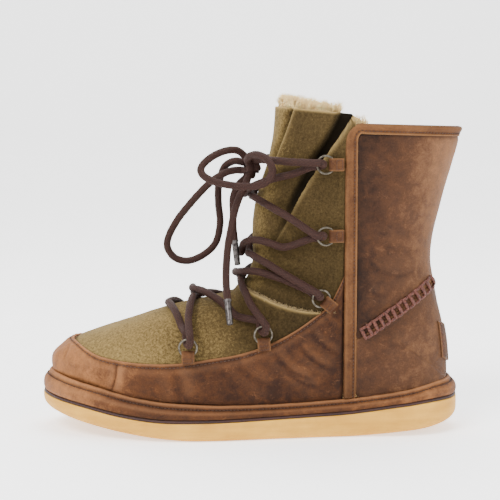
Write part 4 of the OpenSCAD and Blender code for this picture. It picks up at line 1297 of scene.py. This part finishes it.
def mud_height(p, d):
    top, low = d["w0"], d["w1"]
    h = 1.15 * smoothstep(13, 0.6, top) * smoothstep(-3, 1.2, top)
    h = h - 0.42 * bump(top - 2.5, 0.85) + 0.18 * bump(top - 5.0, 1.8)
    h = h + 0.55 * noise(p, 26.0, seed=21) + 0.16 * noise(p, 7.0, seed=22)
    h = h + creases(p, MUD_CREASES)
    # Gathers along the top edge at the toe, where the leather is eased around it
    toe = smoothstep(-62, -100, p[..., 0])
    gather = np.sin(2 * np.pi * (d["u0"] / 5.4 + 0.5 * noise(p, 12.0, seed=23)))
    h = h + 0.14 * toe * gather * smoothstep(14, 2, top)
    h = h - 0.5 * smoothstep(4, 0, low)
    h = h - 1.3 * smoothstep(3.0, 0.0, np.minimum(d["u0"], d["u1"]))
    return h * smoothstep(-2, 4, low + 3)


def mud_tone(p):
    """Light over the toe, dark from the forefoot to the binding."""
    x = p[..., 0]
    toe = smoothstep(-36, -118, x)
    tone = 0.15 + 0.66 * toe - 0.11 * smoothstep(-30, 20, x) - 0.06 * smoothstep(20, 55, x)
    return tone + 0.08 * smoothstep(30, 60, p[..., 2]) * (1 - toe) \
        + 0.14 * noise(p, 30.0, seed=25)


def mud_shade(p, d):
    edge = bump(d["w0"], 1.15)
    worn, valley_shade = creased(p, MUD_CREASES)
    return {"tone": mud_tone(p),
            "wear_and_highlight": 0.5 * edge + worn * 0.45 + 0.10 * bump(d["w0"] - 5, 2.2),
            # Painted shade in the stitched groove below the top edge, along the bottom edge
            # against the foxing, in the crease valleys and at the ends against the binding
            "shade_and_soil": 0.5 * bump(d["w0"] - 2.5, 0.7) + 0.5 * smoothstep(3, 0, d["w1"])
            + valley_shade + 0.5 * smoothstep(5, 0, np.minimum(d["u0"], d["u1"]))}


grid, normals, gaps = panel("mudguard", mud_s, mud_q, mud_height, 2.0, BROWN,
                            ["w0"], 0.95, mud_shade)
line, line_n = level_line(grid, normals, gaps["w0"], 2.5)
sew("mudguard_stitching", line, line_n, pitch=2.5, length=1.75, width=0.55, rise=0.25)


# Suede over the foot, and the pleated panel up the front of the shaft
def suede_v(s, side, tuck=0.03, under=2.5):
    """Share of the suede's edge, under the mudguard or the binding, and past the binding's
    corner above it."""
    under = under + 8 * smoothstep(18.3, 19.6, np.asarray(s, float))
    return np.minimum(mudguard_v(s, side) + tuck, binding_v(s, side, BINDING_X + under))


def seam_station(k, side):
    s = np.full(np.shape(k), 9.0)
    for _ in range(6):
        s = instep_s(k * suede_v(s, side), side)
    return s


def suede_spots(u, w, start, end):
    """Stations and shares over a panel that crosses the ridge: start and end give its first
    and last station at |k| on a side."""
    k = 2 * w - 1
    s, q = np.zeros((len(u), len(w))), np.zeros((len(u), len(w)))
    for side in (LATERAL, MEDIAL):
        pick = k <= 0 if side == LATERAL else k > 0
        a = start(np.abs(k[pick]), side)
        b = end(np.abs(k[pick]), side)
        s[:, pick] = a + (b - a) * u[:, None]
        q[:, pick] = k[pick] * suede_v(s[:, pick], side)
    return s, q


def vamp_height(p, d):
    edge = np.minimum(d["w0"], d["w1"])
    h = -0.2 + 0.5 * noise(p, 30.0, seed=31) + 0.22 * noise(p, 9.0, seed=32)
    h = h - 0.75 * smoothstep(6, 3, edge)
    folds = [([(-30, 88), (-26, 76), (-30, 62)], 0.6, 1.6, 4.5),
             ([(-12, 94), (-6, 82), (-8, 66)], 0.75, 1.5, 4.5),
             ([(2, 91), (10, 80), (12, 68)], 0.8, 1.4, 4.0),
             ([(16, 86), (26, 78), (34, 74)], 0.6, 1.2, 3.2)]
    h = h + creases(p, folds)
    h = h + 0.9 * smoothstep(7, 0.5, d["u1"])
    return h


def vamp_shade(p, d):
    edge = np.minimum(d["w0"], d["w1"])
    tone = 0.32 + 0.40 * smoothstep(15, -95, p[..., 0]) \
        - 0.18 * smoothstep(-35, 30, p[..., 0]) + 0.12 * noise(p, 28.0, seed=33)
    return {"tone": tone, "wear_and_highlight": 0.7 * bump(d["u1"], 1.6),
            # Painted shade along the side edges, where the suede dips under the mudguard and the
            # binding, and darker towards the back and the bottom
            "shade_and_soil": 0.55 * smoothstep(7.5, 3.5, edge)
            + 0.5 * smoothstep(-15, 45, p[..., 0]) * smoothstep(95, 60, p[..., 2])}


u = spacing(155, 1.0, start=False)
w = spacing(150, 1.0)
w = np.unique(np.append(w, 0.5))
s, q = suede_spots(u, w, lambda k, side: 0 * k, lambda k, side: seam_station(k, side))
grid, normals, gaps = panel("vamp_plug", s, q, vamp_height, 1.5, OLIVE,
                            ["u1"], 0.5, vamp_shade, closed_toe=True)
SEAM_LINE, SEAM_NORMALS = grid[-1], normals[-1]

# Fold lines of the front panel's pleats in the side view, from the top down
PLEAT_FRONT = [(31, 216), (28.5, 208), (24, 195), (18, 179), (12, 164), (8, 152)]
PLEAT_SIDE = [(71, 214), (65.2, 203), (57.5, 191), (50.5, 181), (42.5, 169), (35.5, 158),
              (30, 148.5), (25.2, 139.5), (21, 132), (17.2, 125), (13, 117), (9, 110)]


def pleat(p, line, rise, depth, wide, fade):
    """A fold: a raised lip on the +X side of the line, over a valley that narrows downwards.
    Gives the height, how far the lip leans over the valley, the distance to the line, the
    fold's strength and the painted shade of the valley."""
    distance, right, along = near_line(p[..., 0], p[..., 2], line, step=0.5)
    strength = fade(along)
    w = wide * strength + 0.45 * wide * smoothstep(0.32, 0, along) + 0.6
    lip = np.exp(-np.maximum(right, 0) / 10.0) * smoothstep(-0.2, 1.2, right)
    valley = smoothstep(-w - 2.6, -w + 0.8, right) * smoothstep(0.9, 0, right)
    far = bump(np.minimum(right + w + 4.0, 0) / 2.5, 1.6) * (right < -w)
    return (strength * (rise * lip - depth * valley + 0.5 * rise * far),
            strength * bump(right - 0.8, 1.2), right, strength,
            np.clip(strength * 1.6, 0, 1) * valley)


# Height along the shaft's front line, and its x there
SHAFT_RIDGE = [(80, -12), (101, -0.5), (139, 2.5), (162, 7.5), (177, 12), (192, 14.5), (215, 16)]


def front_parts(p):
    a = pleat(p, PLEAT_SIDE, 1.6, 5.6, 6.2, lambda t: smoothstep(1.0, 0.35, t))
    b = pleat(p, PLEAT_FRONT, 1.0, 3.0, 1.6, lambda t: smoothstep(1.0, 0.4, t))
    return a, b


def front_height(p, d):
    edge = np.minimum(d["w0"], d["w1"])
    a, b = front_parts(p)
    behind = smoothstep(0.5, -1.5, b[2]) * b[3]
    h = -0.3 + a[0] + b[0] - 1.3 * behind
    h = h + 0.45 * noise(p, 24.0, seed=41) + 0.2 * noise(p, 7.0, seed=42)
    folds = [([(2, 128), (10, 124), (22, 121)], 0.45, 1.4, 3.6),
             ([(-1, 112), (9, 107), (24, 104)], 0.6, 1.5, 3.6),
             ([(22, 118), (34, 112), (48, 110)], 0.45, 1.3, 3.4),
             ([(26, 98), (38, 95), (52, 96)], 0.5, 1.3, 3.2),
             ([(40, 150), (48, 143), (58, 140)], 0.4, 1.3, 3.0),
             ([(5, 150), (12, 145), (22, 143)], 0.35, 1.5, 4.0)]
    h = h + creases(p, folds)
    h = h - 2.2 * smoothstep(4.5, 1.5, edge)
    return h - 0.5 * smoothstep(5, 0, d["u0"])


def front_slide(p, n):
    a, b = front_parts(p)
    lean = 2.2 * a[1] + 1.3 * b[1]
    towards = np.array([-1.0, 0, 0.12])
    towards = towards - n * (n @ towards)[..., None]
    return lean[..., None] * unit(towards)


def front_shade(p, d):
    a, b = front_parts(p)
    lip = 0.5 * a[3] * bump(a[2] - 0.7, 0.9) + 0.4 * b[3] * bump(b[2] - 0.6, 0.9)
    edge = np.minimum(d["w0"], d["w1"])
    from_ridge = p[..., 0] - lookup(p[..., 2], SHAFT_RIDGE)
    tone = 0.22 + 0.42 * smoothstep(17, 3, from_ridge) + 0.12 * noise(p, 22.0, seed=43)
    return {"tone": tone, "wear_and_highlight": lip + 0.65 * bump(d["u1"], 1.1),
            # Painted shade in the pleats' valleys, along the side edges under the binding and at
            # the lower edge under the vamp, and a little darker lower down
            "shade_and_soil": a[4] + 0.6 * b[4] + 0.35 * smoothstep(5, 1, edge)
            + 0.45 * smoothstep(9, 1, d["u0"]) + 0.15 * smoothstep(150, 100, p[..., 2])}


u = spacing(118, 0.8)
w = np.unique(np.append(spacing(165, 0.75), 0.5))
s, q = suede_spots(u, w, lambda k, side: seam_station(k, side) - 0.12,
                   lambda k, side: TOP - 0.02 - 1.0 * smoothstep(0.93, 1.0, k))
panel("front_panel", s, q, front_height, 1.5, OLIVE, ["u1"], 0.6, front_shade,
      slide=front_slide)


# Quarters and heel counters
def quarter_v(s, side):
    return binding_v(s, side, BINDING_X + BINDING_W - 0.4)


BACK_END = 0.9985
HEEL_FOLDS = [([(74, 96), (82, 92), (92, 92)], 0.2, 1.1, 3.4),
              ([(76, 112), (86, 106), (98, 104), (112, 108)], 0.26, 1.3, 4.2),
              ([(80, 128), (92, 121), (106, 119), (118, 122)], 0.2, 1.8, 5.0),
              ([(88, 62), (97, 58), (108, 58)], 0.16, 1.6, 4.0)]


def quarter_height(p, d):
    h = 0.55 * noise(p, 30.0, seed=51) + 0.14 * noise(p, 7.0, seed=52)
    h = h + creases(p, HEEL_FOLDS)
    h = h - 0.6 * smoothstep(3.0, 0.0, d["w0"])
    h = h + 0.55 * bump(d["u0"] - 2.2, 2.0) - 0.35 * smoothstep(1.5, 0, d["u0"])
    return h * smoothstep(-1, 3, d["u1"]) - 0.5 * smoothstep(3, 0, d["u1"])


def quarter_shade(p, d):
    back = smoothstep(70, 135, p[..., 0])
    tone = 0.12 + 0.40 * smoothstep(78, 112, p[..., 0]) + 0.30 * smoothstep(108, 136, p[..., 0])
    tone = tone + 0.10 * smoothstep(155, 110, p[..., 2]) * smoothstep(70, 84, p[..., 0]) \
        + 0.12 * noise(p, 24.0, seed=53)
    worn, valley_shade = creased(p, HEEL_FOLDS)
    return {"tone": tone, "wear_and_highlight": 0.12 * back ** 2 + 0.35 * bump(d["u0"], 0.8) + 0.3 * worn,
            # Painted shade along the front edge under the binding, at the top under the rim and
            # in the crease valleys
            "shade_and_soil": 0.4 * smoothstep(9, 0, d["w0"]) + 0.5 * smoothstep(2.2, 0, d["u1"])
            + valley_shade}


def counter_height(p, d):
    h = 0.55 * noise(p, 26.0, seed=61) + 0.15 * noise(p, 7.0, seed=62)
    h = h + creases(p, HEEL_FOLDS)
    h = h + 0.55 * bump(d["w0"] - 2.2, 2.0) - 0.35 * smoothstep(1.5, 0, d["w0"])
    return h - 0.5 * smoothstep(3, 0, d["u0"])


def counter_shade(p, d):
    back = smoothstep(80, 130, p[..., 0])
    tone = 0.35 + 0.20 * back - 0.16 * smoothstep(56, 36, p[..., 2]) \
        + 0.12 * noise(p, 24.0, seed=63)
    worn, valley_shade = creased(p, HEEL_FOLDS)
    return {"tone": tone, "wear_and_highlight": 0.08 * back + 0.35 * bump(d["w0"], 0.8) + 0.5 * worn,
            # Painted shade where the front end dips, and in the crease valleys
            "shade_and_soil": 0.45 * smoothstep(6, 0, d["u0"]) + valley_shade}


for label, side in SIDES.items():
    start = solve(lambda s: heel_seam_v(s, side) - quarter_v(s, side), np.array(9.5),
                  np.array(14.0)) + 0.03
    w = spacing(82, 1.0)
    u = spacing(118, 1.0)
    top = np.full(w.shape, 19.0)
    for _ in range(6):
        top = below_rim_s(mix(quarter_v(top, side), 1, w), side, RIM_W + 0.1)
    s = mix(start, top[None, :], u[:, None])
    v = mix(quarter_v(s, side), np.minimum(heel_seam_v(s, side) + 0.003, BACK_END), w[None, :])
    panel("quarter_" + label, s, side * v, quarter_height, 2.0, DARK,
          ["u0", "w1"], 0.7, quarter_shade)
    u, w = spacing(75, 1.0), spacing(72, 1.0)
    s = mix(9.75, 16.4, u)[:, None] + 0 * w
    first = np.maximum(quarter_v(s, side), heel_seam_v(s, side) + 0.003)
    last = np.where(s > 13.9, BACK_END, mix(1.0, BACK_END, smoothstep(13.4, 13.9, s)))
    v = mix(np.minimum(first, last - 0.004), last, w[None, :])
    panel("counter_" + label, s, side * v, counter_height, 2.0, DARK,
          ["w0"], 0.7, counter_shade)


# Binding: up the front edge of the shaft, round the corner and back along the rim
def binding_spot(t, w, side):
    t, w = np.broadcast_arrays(t, w)
    cx, cz = BINDING_X + CORNER_R, RIM_FRONT_Z - CORNER_R
    turn = np.radians(90 * np.clip((t - 0.35) / 0.25, 0, 1))
    x = cx - (CORNER_R - w * BINDING_W) * np.cos(turn)
    z = np.where(t < 0.35, mix(25, cz, t / 0.35), cz + (CORNER_R - w * RIM_W) * np.sin(turn))
    low = z < 80
    s1, v1 = seat(x, z, side, guess=(11.0, 0.8))
    s2, v2 = seat(x, z, side, guess=(17.0, 0.6))
    s, v = np.where(low, s1, s2), np.where(low, v1, v2)
    back = mix(v, 0.9975, np.clip((t - 0.6) / 0.4, 0, 1))
    rim_s = below_rim_s(back, side, w * RIM_W)
    on_front = t <= 0.6
    return np.where(on_front, s, rim_s), side * np.where(on_front, v, back)


def binding_height(p, d):
    outer_roll = 0.55 * bump(d["w0"] - 1.6, 1.5)
    h = 0.42 + outer_roll - 0.34 * bump(d["w1"] - 2.0, 0.7) - 0.5 * smoothstep(4, 0, d["u1"])
    h = h + 0.12 * noise(p, 5.0, seed=71) + 0.3 * noise(p, 22.0, seed=72)
    return h + 0.08 * np.sin(2 * np.pi * d["u0"] / 3.1) * bump(d["w1"], 1.6)


def binding_shade(p, d):
    tone = 0.31 + 0.14 * noise(p, 14.0, seed=73)
    return {"tone": tone, "wear_and_highlight": 0.5 * bump(d["w1"], 0.8) + 0.1 * bump(d["w0"] - 1.2, 1.0),
            # Painted shade in the stitched groove, and darker towards the bottom
            "shade_and_soil": 0.45 * bump(d["w1"] - 2.0, 0.6) + 0.3 * smoothstep(60, 25, p[..., 2])}


for label, side in SIDES.items():
    even = even_chart(lambda t: skin(*binding_spot(t, np.full(t.shape, 0.5), side)), 200)
    t = even(spacing(275, 0.8, start=False))
    w = spacing(8, 0.5)
    s, q = binding_spot(t[:, None], w[None, :], side)
    grid, normals, gaps = panel("binding_" + label, s, q, binding_height, 2.4, TAN,
                                ["w0", "w1"], 1.05, binding_shade)
    line, line_n = level_line(grid, normals, gaps["w1"], 2.0)
    sew(f"binding_stitching_{label}", line, line_n, pitch=2.4, length=1.7, width=0.5,
        rise=0.18)


# Heel patch
def patch_height(p, d):
    return 1.5 + 0.12 * noise(p, 6.0, seed=81) - 0.2 * bump(d["w0"] - 2.0, 0.6) \
        - 0.2 * bump(d["w1"] - 2.0, 0.6)


def patch_shade(p, d):
    edge = np.minimum(np.minimum(d["w0"], d["w1"]), np.minimum(d["u0"], d["u1"]))
    return {"tone": 0.45 + 0 * edge, "wear_and_highlight": 0.4 * bump(edge, 0.8),
            # Painted shade in the stitched groove near the edge
            "shade_and_soil": 0.3 * bump(edge - 2.0, 0.6)}


u, w = spacing(27, 0.6), np.unique(np.append(spacing(16, 0.5), 0.5))
k = 2 * w - 1
s = mix(14.38, 15.3, u)[:, None] + 0 * w
q = np.where(k <= 0, -1, 1) * (1 - np.abs(k) * 0.1) + 0 * s
grid, normals, gaps = panel("heel_patch", s, q, patch_height, 1.45, DARK,
                            ["u0", "u1", "w0", "w1"], 0.6, patch_shade)
for edge in ("w0", "w1"):
    line, line_n = level_line(grid, normals, gaps[edge], 2.0)
    sew("patch_stitching_" + edge, line[4:-4], line_n[4:-4], pitch=3.0, length=1.9, width=0.6,
        rise=0.2, material=SEW)

# Hand-sewn seams: cords across the heel seam, joined in a row on each side of it
CELLS = 12
CORD_LEAN = 0.006      # share of the seam
CORD_REACH, ROW_AT = 3.6, 3.4      # mm on each side of the seam


def seam_spot(t, off, side):
    """Spot at share t of the heel seam, off mm above it in the side view."""
    run = np.array([SEAM_HIGH[0] - SEAM_LOW[0], SEAM_HIGH[1] - SEAM_LOW[1]], float)
    length = np.hypot(*run)
    run = run / length
    x = mix(SEAM_LOW[0], SEAM_HIGH[0], t) - off * run[1]
    z = mix(SEAM_LOW[1], SEAM_HIGH[1], t) + off * run[0]
    return seat(x, z, side, guess=(13.0, 0.75), steps=16)


def cord_between(a, b, side, radius, low, high, kink=0.0):
    """A cord that dives into the leather at both ends."""
    t = np.linspace(0, 1, 11)
    s, v = seam_spot(mix(a[0], b[0], t), mix(a[1], b[1], t), side)
    h = low + (high - low) * np.sin(np.pi * t) ** 0.6
    path = lift(s, side * v, h)
    path[:, 2] += kink * np.sin(np.pi * t)
    return tube(path, radius * (0.75 + 0.25 * np.sin(np.pi * t) ** 0.5), 9)


for label, side in SIDES.items():
    parts = []
    for k in range(CELLS + 1):
        t = (k + 0.35) / (CELLS + 0.7)
        jit = rng.uniform(-0.35, 0.35, 4)
        parts.append(cord_between((t - CORD_LEAN, -CORD_REACH + jit[0]),
                                  (t + CORD_LEAN, CORD_REACH + jit[1]), side, 1.2, 0.0, 1.5,
                                  kink=0.3 * jit[2]))
        if k < CELLS:
            t2 = (k + 1.35) / (CELLS + 0.7)
            for off in (-ROW_AT, ROW_AT):
                parts.append(cord_between((t + CORD_LEAN, off + jit[2]),
                                          (t2 - CORD_LEAN, off + jit[3]), side, 0.95, -0.2,
                                          1.0))
    points, faces = joined(parts)
    make("seam_stitches_" + label, points, faces, SEW,
         stands_for=["seam_stitches_" + label])

# Fine rows beside the seam down the back
for label, side in SIDES.items():
    z = np.linspace(103, 190, 120)
    q = np.full(z.shape, side * 0.975)
    s = solve(lambda x: skin(x, q)[..., 2] - z, np.full(z.shape, 15.2), np.full(z.shape, 20.0))
    sew(f"back_stitching_{label}", lift(s, q, np.full(z.shape, -0.3)), normal(s, q), pitch=2.6,
        length=1.8, width=0.45, rise=0.02)

# ---------------------------------------------------------------------------
# Sheepskin
# ---------------------------------------------------------------------------
LINING_H, LINING_T = -4.0, 7.0


def fleece_wall(name, side, start, end):
    """Pile inside one side of the boot: a wall with a woolly inner face."""
    u, w = np.linspace(0, 1, int(4 + 2.0 * (end - start) * 8)), np.linspace(0, 1, 130)
    v = mix(0.0005, 0.9995, w)
    top = np.full(w.shape, end)
    if end > 18:
        low = below_rim_s(np.clip(v, 0.5, 1), side, 3.0)
        top = mix(top, low, smoothstep(0.52, 0.66, v))
    s = mix(start, top[None, :], u[:, None])
    v = v[None, :] + 0 * s
    base, n = skin(s, side * v), normal(s, side * v)
    front = smoothstep(0.72, 0.6, v)
    curl = noise(base, 5.5, seed=91, octaves=3)
    puffs = 1 - np.abs(noise(base + 2.0 * curl[..., None], 7.5, seed=92, octaves=2))
    outer_h = LINING_H - 3.6 * front
    inner_h = LINING_H - 1.4 * front - LINING_T * (0.62 + 0.42 * puffs ** 2) + 0.5 * curl
    outer = base + outer_h[..., None] * n
    inner = base + inner_h[..., None] * n
    points, faces = shell(outer, inner)
    tip = np.concatenate([np.full(base[..., 0].size, 0.3),
                          np.clip(0.25 + 0.85 * puffs.ravel() ** 1.5, 0, 1)])
    make(name, points, [faces], PILE, stands_for=[name],
         shades={"tip": tip})


for label, side in SIDES.items():
    fleece_wall("shaft_lining_" + label, side, 15.52, TOP - 0.02)
    fleece_wall("heel_lining_" + label, side, 9.06, 15.5)
u, w = np.linspace(0, 1, 70), np.linspace(0, 1, 151)
s = 9.0 * u[:, None] + 0 * w
q = (2 * w - 1)[None, :] * 0.999 + 0 * s
base, n = skin(s, q), normal(s, q)
puffs = 1 - np.abs(noise(base, 8.0, seed=93, octaves=2))
depth = LINING_T * mix(0.6, 1.0, np.clip(s / 5, 0, 1))
outer = base + LINING_H * n
inner = base + (LINING_H - depth * (0.7 + 0.3 * puffs))[..., None] * n
points, faces = shell(outer, inner)
points, faces, _ = welded(points, without_first_wall(faces, s.shape))
make("vamp_lining", points, faces, PILE, stands_for=["vamp_lining"],
     shades={"tip": np.full(len(points), 0.7)})


def locks(roots, aims, lengths, curls, widths, sides=3, rings=6):
    """Tapered, curling tufts of wool, one from each root."""
    count = len(roots)
    t = np.linspace(0, 1, rings)[None, :, None]
    aims = unit(aims)
    across = unit(np.cross(aims, rng.normal(size=(count, 3))))
    other = np.cross(aims, across)
    phase = rng.uniform(0, 2 * np.pi, (count, 1, 1))
    turns = rng.uniform(0.5, 1.5, (count, 1, 1))
    a = phase + 2 * np.pi * turns * t
    sway = lengths[:, None, None] * curls[:, None, None] * t ** 1.1
    spine = (roots[:, None] + lengths[:, None, None] * t * aims[:, None] * (1 - 0.2 * t)
             + sway * (np.cos(a) * across[:, None] + np.sin(a) * other[:, None]))
    tangent = unit(np.gradient(spine, axis=1))
    x = unit(np.cross(tangent, aims[:, None] + 0.3 * across[:, None]))
    y = np.cross(tangent, x)
    r = widths[:, None, None] * (1 - 0.92 * t ** 2)
    turn = circle(sides)
    ring = (np.cos(turn)[None, None, :, None] * x[:, :, None]
            + np.sin(turn)[None, None, :, None] * y[:, :, None])
    points = spine[:, :, None] + r[..., None] * ring
    faces = grid_faces(rings, sides, wrap_m=True)
    faces = (faces[None] + (np.arange(count) * rings * sides)[:, None, None]).reshape(-1, 4)
    tip = np.broadcast_to(0.25 + 0.75 * t, (count, rings, 1))
    tip = np.repeat(tip, sides, axis=2)
    return points.reshape(-1, 3), faces, tip.ravel()


def tufts(name, count, where, aim, length, curl, width):
    """where(i) gives stations, shares and depths; aim mixes up, outwards and sideways. Locks
    near each other lean the same way and reach about as high."""
    s, q, h = where(count)
    roots = lift(s, q, h)
    n = normal(s, q)
    up = np.array([0.05, 0, 1.0])
    lean = np.stack([noise(roots, 5.0, seed=k) for k in (101, 102, 103)], axis=1)
    aims = aim[0] * up + aim[1] * n + aim[2] * (0.55 * rng.normal(size=(count, 3)) + 2.2 * lean)
    reach = 1 + 0.35 * noise(roots, 7.0, seed=104)
    points, faces, tip = locks(roots, aims, reach * rng.uniform(*length, count),
                               rng.uniform(*curl, count), rng.uniform(*width, count))
    make(name, points, [faces], PILE, shades={"tip": tip})


def over_front(count):
    q = rng.uniform(-0.495, 0.495, count)
    shallow = mix(-4.6, -9.0, smoothstep(0.40, 0.45, np.abs(q)))
    return TOP - rng.uniform(0.2, 0.6, count), q, rng.uniform(-10.5, shallow)


def at_corners(count):
    q = rng.choice([-1, 1], count) * rng.uniform(0.575, 0.62, count)
    return rng.uniform(18.7, 19.2, count), q, rng.uniform(-9.0, -5.5, count)


def round_rim(count):
    q = rng.choice([-1, 1], count) * rng.uniform(0.6, 1, count)
    top = below_rim_s(np.abs(q), LATERAL, 8.5)
    return top - rng.uniform(0, 0.3, count), q, rng.uniform(-10.5, -6.0, count)


def inside_shaft(count):
    q = rng.choice([-1, 1], count) * np.where(rng.random(count) < 0.45, rng.uniform(
        0, 0.4, count), rng.uniform(0.6, 1, count))
    top = np.where(np.abs(q) > 0.55, below_rim_s(np.clip(np.abs(q), 0.5, 1), LATERAL, 9.0),
                   TOP - 0.4)
    return mix(16.5, top, rng.uniform(0, 1, count)), q, rng.uniform(-10.5, -8.5, count)


tufts("fur_front", 6500, over_front, (1.0, 0.0, 0.2), (6.5, 12.5), (0.05, 0.2), (0.12, 0.32))
tufts("fur_corners", 1100, at_corners, (1.0, 0.0, 0.14), (7, 13), (0.05, 0.16), (0.12, 0.32))
tufts("fur_rim", 3000, round_rim, (0.75, -0.4, 0.26), (4.5, 8), (0.08, 0.26), (0.14, 0.34))
tufts("fur_inside", 3400, inside_shaft, (0.45, -0.7, 0.35), (4, 8), (0.12, 0.35), (0.18, 0.45))

# Raw, fuzzy edge where the suede of the foot ends on the front panel
count = 2400
at = rng.uniform(0, len(SEAM_LINE) - 1.001, count)
low = at.astype(int)
f = (at - low)[:, None]
roots = mix(SEAM_LINE[low], SEAM_LINE[low + 1], f)
nrm = unit(mix(SEAM_NORMALS[low], SEAM_NORMALS[low + 1], f))
up = unit(np.array([0.1, 0, 1.0]) - nrm * nrm[:, 2:])
roots = roots - 0.5 * up - nrm * rng.uniform(0.1, 0.9, (count, 1))
points, faces, tip = locks(roots, up + 0.35 * nrm + 0.45 * rng.normal(size=(count, 3)),
                           rng.uniform(1.1, 3.2, count), rng.uniform(0.1, 0.4, count),
                           rng.uniform(0.10, 0.26, count))
RAW = suede("raw_edge", (0.15, 0.10, 0.045), (0.27, 0.19, 0.09), (0.42, 0.31, 0.16))
make("raw_edge_fringe", points, [faces], RAW,
     shades={"wear_and_highlight": 0.4 * tip, "shade_and_soil": 0.3 * (1 - tip), "tone": 0.3 + 0.4 * tip})

# ---------------------------------------------------------------------------
# CAD parts that are shown as they are
# ---------------------------------------------------------------------------
for node in ("toe_stiffener", "heel_stiffener"):
    for slot_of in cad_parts[node].material_slots:
        slot_of.material = BOARD

# ---------------------------------------------------------------------------
# Floor, lights and world
# ---------------------------------------------------------------------------


def stage_material():
    m = Shader("paper")
    grain = m.noise(18.0, 3.0, 0.6)
    colour = m.ramp(grain, [(0.3, (0.93, 0.93, 0.93)), (0.7, (0.96, 0.96, 0.96))])
    return m.finish(Base_Color=colour, Roughness=0.9, Specular_IOR_Level=0.1,
                    Emission_Color=(1.0, 1.0, 1.0, 1.0), Emission_Strength=1.1)


# Floor in metres: half its width, and (y, z) from in front of the camera up the wall behind
FLOOR_X = 5.0
FLOOR_PROFILE = [(-6.0, 0.0), (1.2, 0.0), (1.6, 0.04), (1.9, 0.16), (2.1, 0.4), (2.2, 0.8),
                 (2.2, 3.0)]


def add_stage():
    mesh = bpy.data.meshes.new("floor")
    mesh.from_pydata([(side * FLOOR_X, *spot) for spot in FLOOR_PROFILE for side in (-1, 1)],
                     [], [(2 * k, 2 * k + 1, 2 * k + 3, 2 * k + 2)
                          for k in range(len(FLOOR_PROFILE) - 1)])
    mesh.polygons.foreach_set("use_smooth", [True] * len(mesh.polygons))
    mesh.materials.append(stage_material())
    floor = bpy.data.objects.new("floor", mesh)
    bpy.context.scene.collection.objects.link(floor)


def add_light(name, place, aim, size, power, colour=(1, 1, 1)):
    data = bpy.data.lights.new(name, "AREA")
    data.energy, data.size, data.color = power, size, colour
    light = bpy.data.objects.new(name, data)
    light.location = place
    direction = np.array(aim) - np.array(place)
    yaw = math.atan2(direction[1], direction[0])
    pitch = math.atan2(-direction[2], np.hypot(direction[0], direction[1]))
    light.rotation_euler = (math.pi / 2 - pitch, 0, yaw - math.pi / 2)
    bpy.context.scene.collection.objects.link(light)


add_stage()
add_light("key", (-0.75, -0.95, 1.35), (0, 0, 0.08), 0.8, 40)
add_light("fill", (1.2, -0.7, 0.7), (0.02, 0, 0.1), 1.0, 12)
add_light("top", (0.1, 0.35, 1.5), (0, 0, 0.1), 1.1, 24)
world = bpy.data.worlds.new("world")
world.use_nodes = True
world.node_tree.nodes["Background"].inputs["Color"].default_value = (1, 1, 1, 1)
world.node_tree.nodes["Background"].inputs["Strength"].default_value = 0.95
bpy.context.scene.world = world
